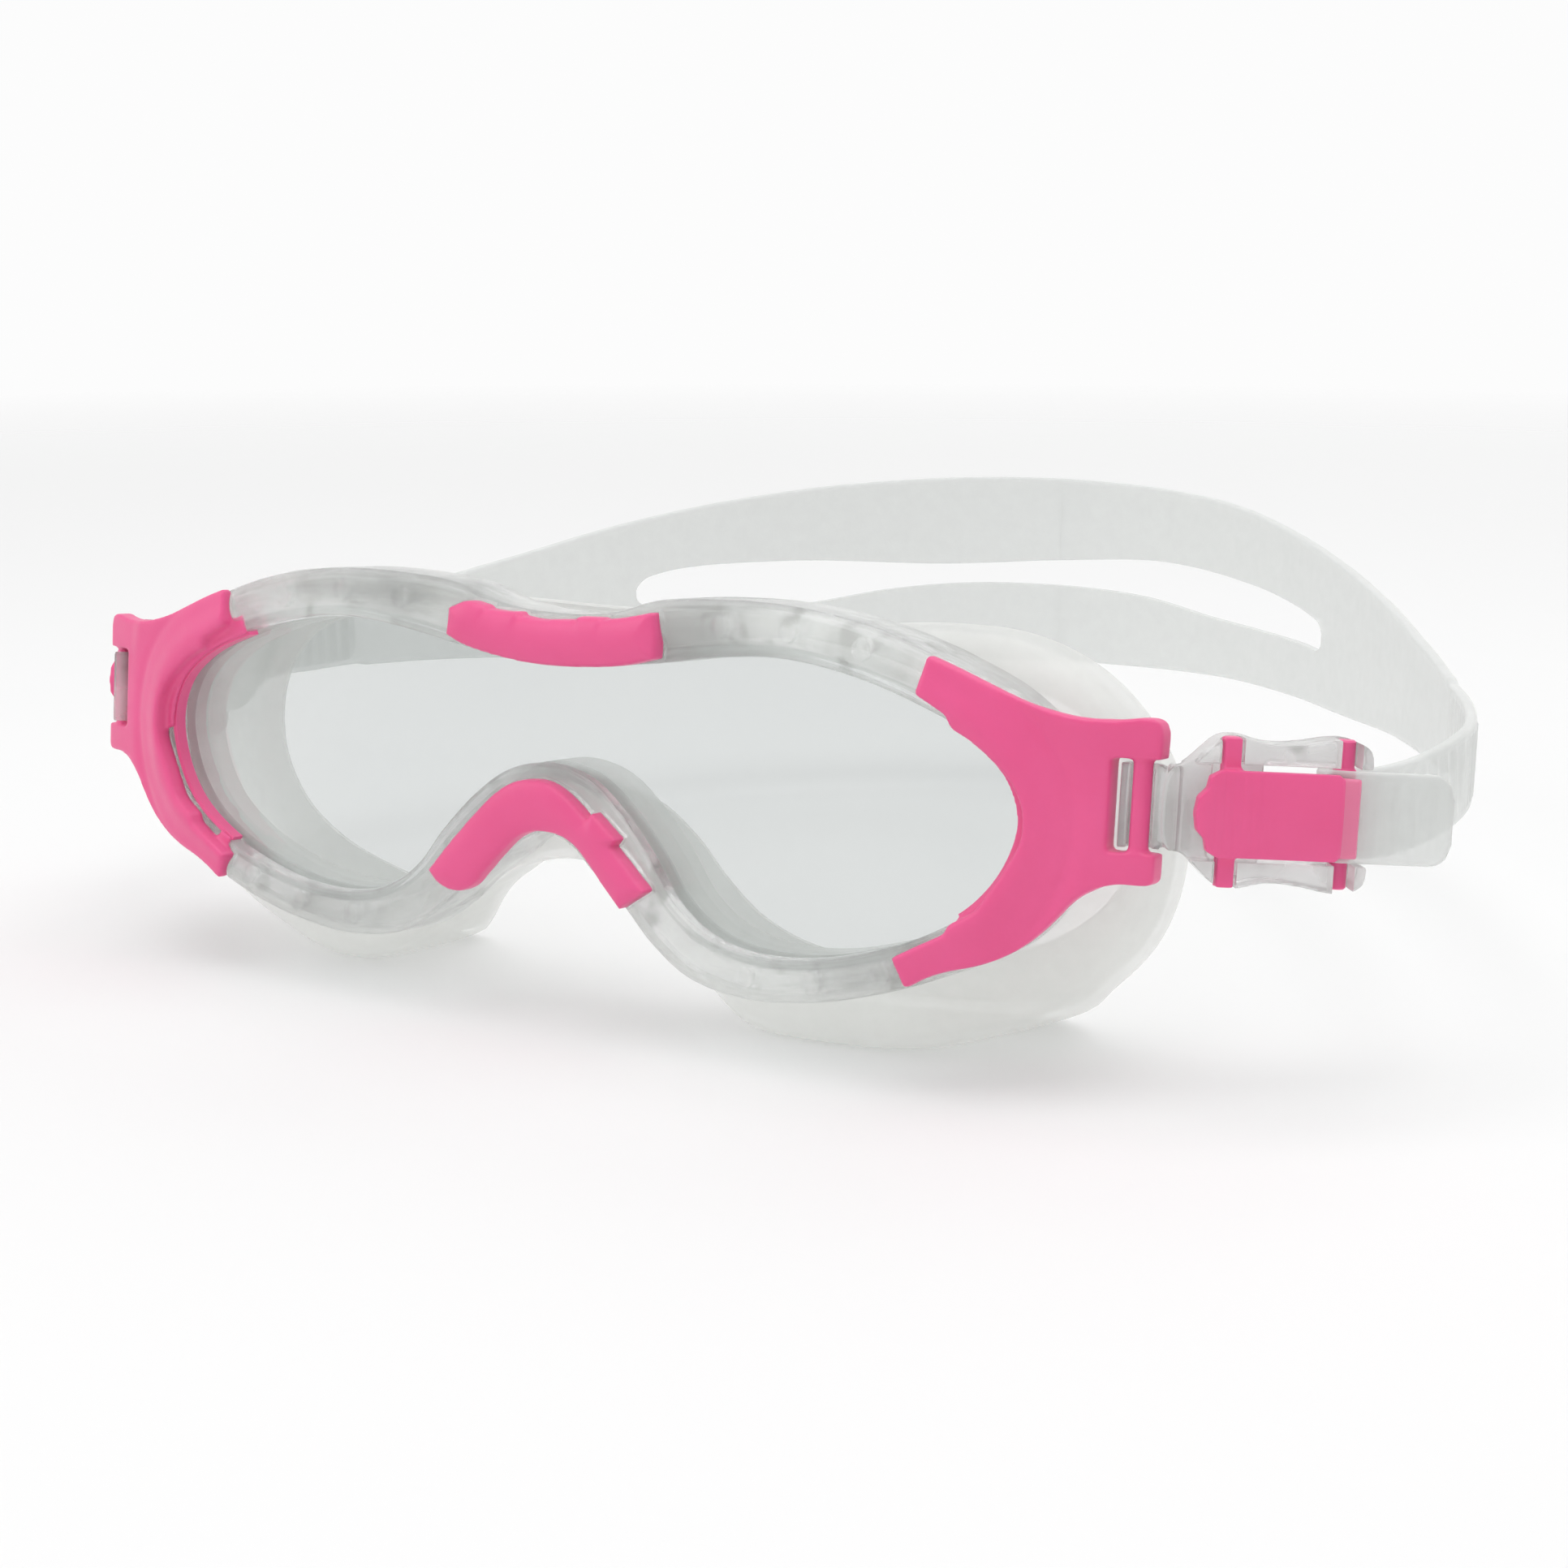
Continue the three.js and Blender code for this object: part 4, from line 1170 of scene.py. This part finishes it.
def band_rows(low, high):
    """Heights and half thicknesses across one band, edge to edge, on its outer face."""
    half = STRAP / 2
    rows = []
    for a in EDGE_TURN[::-1]:
        rows.append((EDGE_RADIUS * (1 - math.sin(a)), half - EDGE_RADIUS * (1 - math.cos(a))))
    rows += [(inset, half + drop) for inset, drop in RIM if inset < 0.42 * (high - low)]
    near = [(low + inset, t) for inset, t in rows]
    far = [(high - inset, t) for inset, t in rows][::-1]
    (start, thick), stop = near[-1], far[0][0]
    plain = [(start + (stop - start) * k / 4, thick) for k in (1, 2, 3)]
    return near + plain + far


def band_solid(stations, data):
    """A closed band between its two edges, swept along the stations."""
    places, across, normal, _, high_of, low_of, ribs = data
    sections = []
    for i in stations:
        low, high = low_of[i], high_of[i]
        outside, back = [], []
        for h, t in band_rows(low, high):
            ribbed = smoothstep(h, low + 0.9, low + 1.3) * smoothstep(-h, 0.9 - high, 1.3 - high)
            line = places[i] + across[i] * h
            outside.append(line + normal[i] * (t + ribs[i] * ribbed))
            back.append(line - normal[i] * (t + 0.6 * ribs[i] * ribbed))
        sections.append(outside + back[::-1])
    return open_loft("strap", np.array(sections))


def strap_data():
    places, across, normal, d = strap_frames()
    top, low = band_edges(d)
    return places, across, normal, d, top, low, rib(d)


def slit_solid(data):
    """The space between the two bands."""
    places, across, normal, d = data[:4]
    high, low = slit_edges(d)
    chosen = [i for i in range(len(d)) if SLIT_ENDS[0] + 0.01 < d[i] < SLIT_ENDS[1] - 0.01]
    loops = []
    for i in chosen:
        loops.append([places[i] + across[i] * h + normal[i] * t
                      for h, t in ((low[i], -4), (high[i], -4), (high[i], 4), (low[i], 4))])
    return open_loft("slit", np.array(loops))


def thin_out(d):
    """Stations: close together where there are ribs or a slit end, wider apart elsewhere."""
    keep = [0]
    for i in range(1, len(d) - 1):
        near_end = min(abs(d[i] - end) for end in (*SLIT_ENDS, d[0], d[-1])) < 4
        step = 0.28 if past_shoulder(d[i]) > -1 or near_end else 1.4
        if abs(d[i] - d[keep[-1]]) >= step:
            keep.append(i)
    keep.append(len(d) - 1)
    return keep


def open_seam(obj, spot, along):
    """Takes away the end wall where the two halves of the strap go on into each other."""
    with edited(obj) as bm:
        wall = [f for f in bm.faces
                if all(abs((v.co - Vector(spot)).dot(Vector(along))) < 1e-5 for v in f.verts)]
        bmesh.ops.delete(bm, geom=wall, context="FACES_ONLY")


def build_straps():
    data = strap_data()
    places, across, normal, d = data[:4]
    keep = thin_out(d)
    seam = min(range(len(keep)), key=lambda k: abs(d[keep[k]]))
    middle = keep[seam]
    halves = {"right": keep[:seam + 1], "left": keep[seam:]}
    for side, chosen in halves.items():
        obj = band_solid(chosen, data)
        combine(obj, [slit_solid(data)])
        place(obj, get_points(obj))
        spot = metres(places[middle:middle + 1])[0]
        open_seam(obj, spot, np.cross(across[middle], normal[middle]))
        start = Vector(metres([(0, 118, 0)])[0])
        end = Vector(metres([(0, 48, 0)])[0])
        finish_piece(obj, "strap_half_" + side, ("mask", side + "_buckle", start, end),
                     "head_strap", BAND_SILICONE)


# ---------- build ----------
build_lens()
build_bezel()
build_retainer()
build_skirt()
build_clip(brow_shape, "brow_trim", "brow_clip", 1.3, 3.1)
build_clip(nose_shape, "nose_trim", "nose_clip", 1.0, 2.8)
for side in ("right", "left"):
    build_wing(side)
    build_buckle(side)
    build_lever(side)
    build_roller(side)
build_straps()


# ---------- floor, light, camera ----------
FLOOR_RADIUS = 1.3


def build_floor():
    """A pale disc that fades into the backdrop colour towards its rim."""
    sides = 96
    turn = turns(sides)
    rim = np.stack([FLOOR_RADIUS * np.cos(turn), FLOOR_RADIUS * np.sin(turn), 0 * turn], 1)
    obj = mesh_object("floor", rim, [tuple(range(sides))])
    n = Nodes("pale_floor")
    colour = n.colours(n.noise(6, 3), (0.86, 0.86, 0.86), (0.875, 0.875, 0.875))
    ball = n.shader(Base_Color=colour, Roughness=0.75, Specular_IOR_Level=0.15)
    away = n.add("ShaderNodeVectorMath", operation="LENGTH")
    n.put(away.inputs[0], n.place)
    fade = n.ranged(away.outputs["Value"], 0, 1, 0.2 * FLOOR_RADIUS, 0.85 * FLOOR_RADIUS)
    obj.data.materials.append(n.show(n.mix(fade, ball, n.clear((1, 1, 1)))))


def area_light(name, spot, target, size, power):
    data = bpy.data.lights.new(name, "AREA")
    data.shape = "RECTANGLE"
    data.size = size[0]
    data.size_y = size[1]
    data.energy = power
    obj = add_object(name, data)
    obj.location = spot
    obj.rotation_euler = (Vector(target) - Vector(spot)).to_track_quat("-Z", "Y").to_euler()


def build_world():
    """A pale studio dome, bright near the horizon and greyer above."""
    world = bpy.data.worlds.new("studio")
    world.use_nodes = True
    tree = world.node_tree
    tree.nodes.clear()
    kinds = ("TexCoord", "SeparateXYZ", "ValToRGB", "Background", "OutputWorld")
    coords, split, ramp, background, out = [tree.nodes.new("ShaderNode" + k) for k in kinds]
    tree.links.new(coords.outputs["Generated"], split.inputs[0])
    tree.links.new(split.outputs["Z"], ramp.inputs["Fac"])
    tree.links.new(ramp.outputs["Color"], background.inputs["Color"])
    tree.links.new(background.outputs["Background"], out.inputs["Surface"])
    stops = [(0.0, 0.975), (0.14, 0.975), (0.36, 0.58), (0.7, 0.64), (1.0, 0.85)]
    while len(ramp.color_ramp.elements) < len(stops):
        ramp.color_ramp.elements.new(0.5)
    for element, (at, grey) in zip(ramp.color_ramp.elements, stops):
        element.position = at
        element.color = (grey, grey, grey, 1)
    background.inputs["Strength"].default_value = 1.0
    bpy.context.scene.world = world


def build_camera():
    """The photograph's view: from 31 degrees to the right of the front and 12 degrees above."""
    back = Vector((0.49777, -0.84203, 0.20791))
    right = Vector((0.86084, 0.50889, 0))
    up = back.cross(right)
    data = bpy.data.cameras.new("camera")
    data.sensor_width = 36
    data.lens = 65.03
    data.clip_start = 0.01
    data.clip_end = 20
    obj = add_object("camera", data)
    rotation = Matrix((right, up, back)).transposed().to_4x4()
    spot = Vector(metres([(200.80, -280.60, 73.49)])[0])
    obj.matrix_world = Matrix.Translation(spot) @ rotation
    bpy.context.scene.camera = obj


build_floor()
build_world()
build_camera()
area_light("top_softbox", (0.1, -0.1, 1.0), (0, 0, 0.03), (1.0, 0.8), 4.4)
area_light("left_softbox", (-0.9, -0.7, 0.7), (0, 0, 0.03), (0.7, 0.7), 2.2)
area_light("back_softbox", (0.3, 0.9, 0.8), (0, 0, 0.03), (0.9, 0.6), 1.4)

scene = bpy.context.scene
scene.view_settings.view_transform = "Standard"
scene.cycles.max_bounces = 24
scene.cycles.transmission_bounces = 20
scene.cycles.transparent_max_bounces = 32
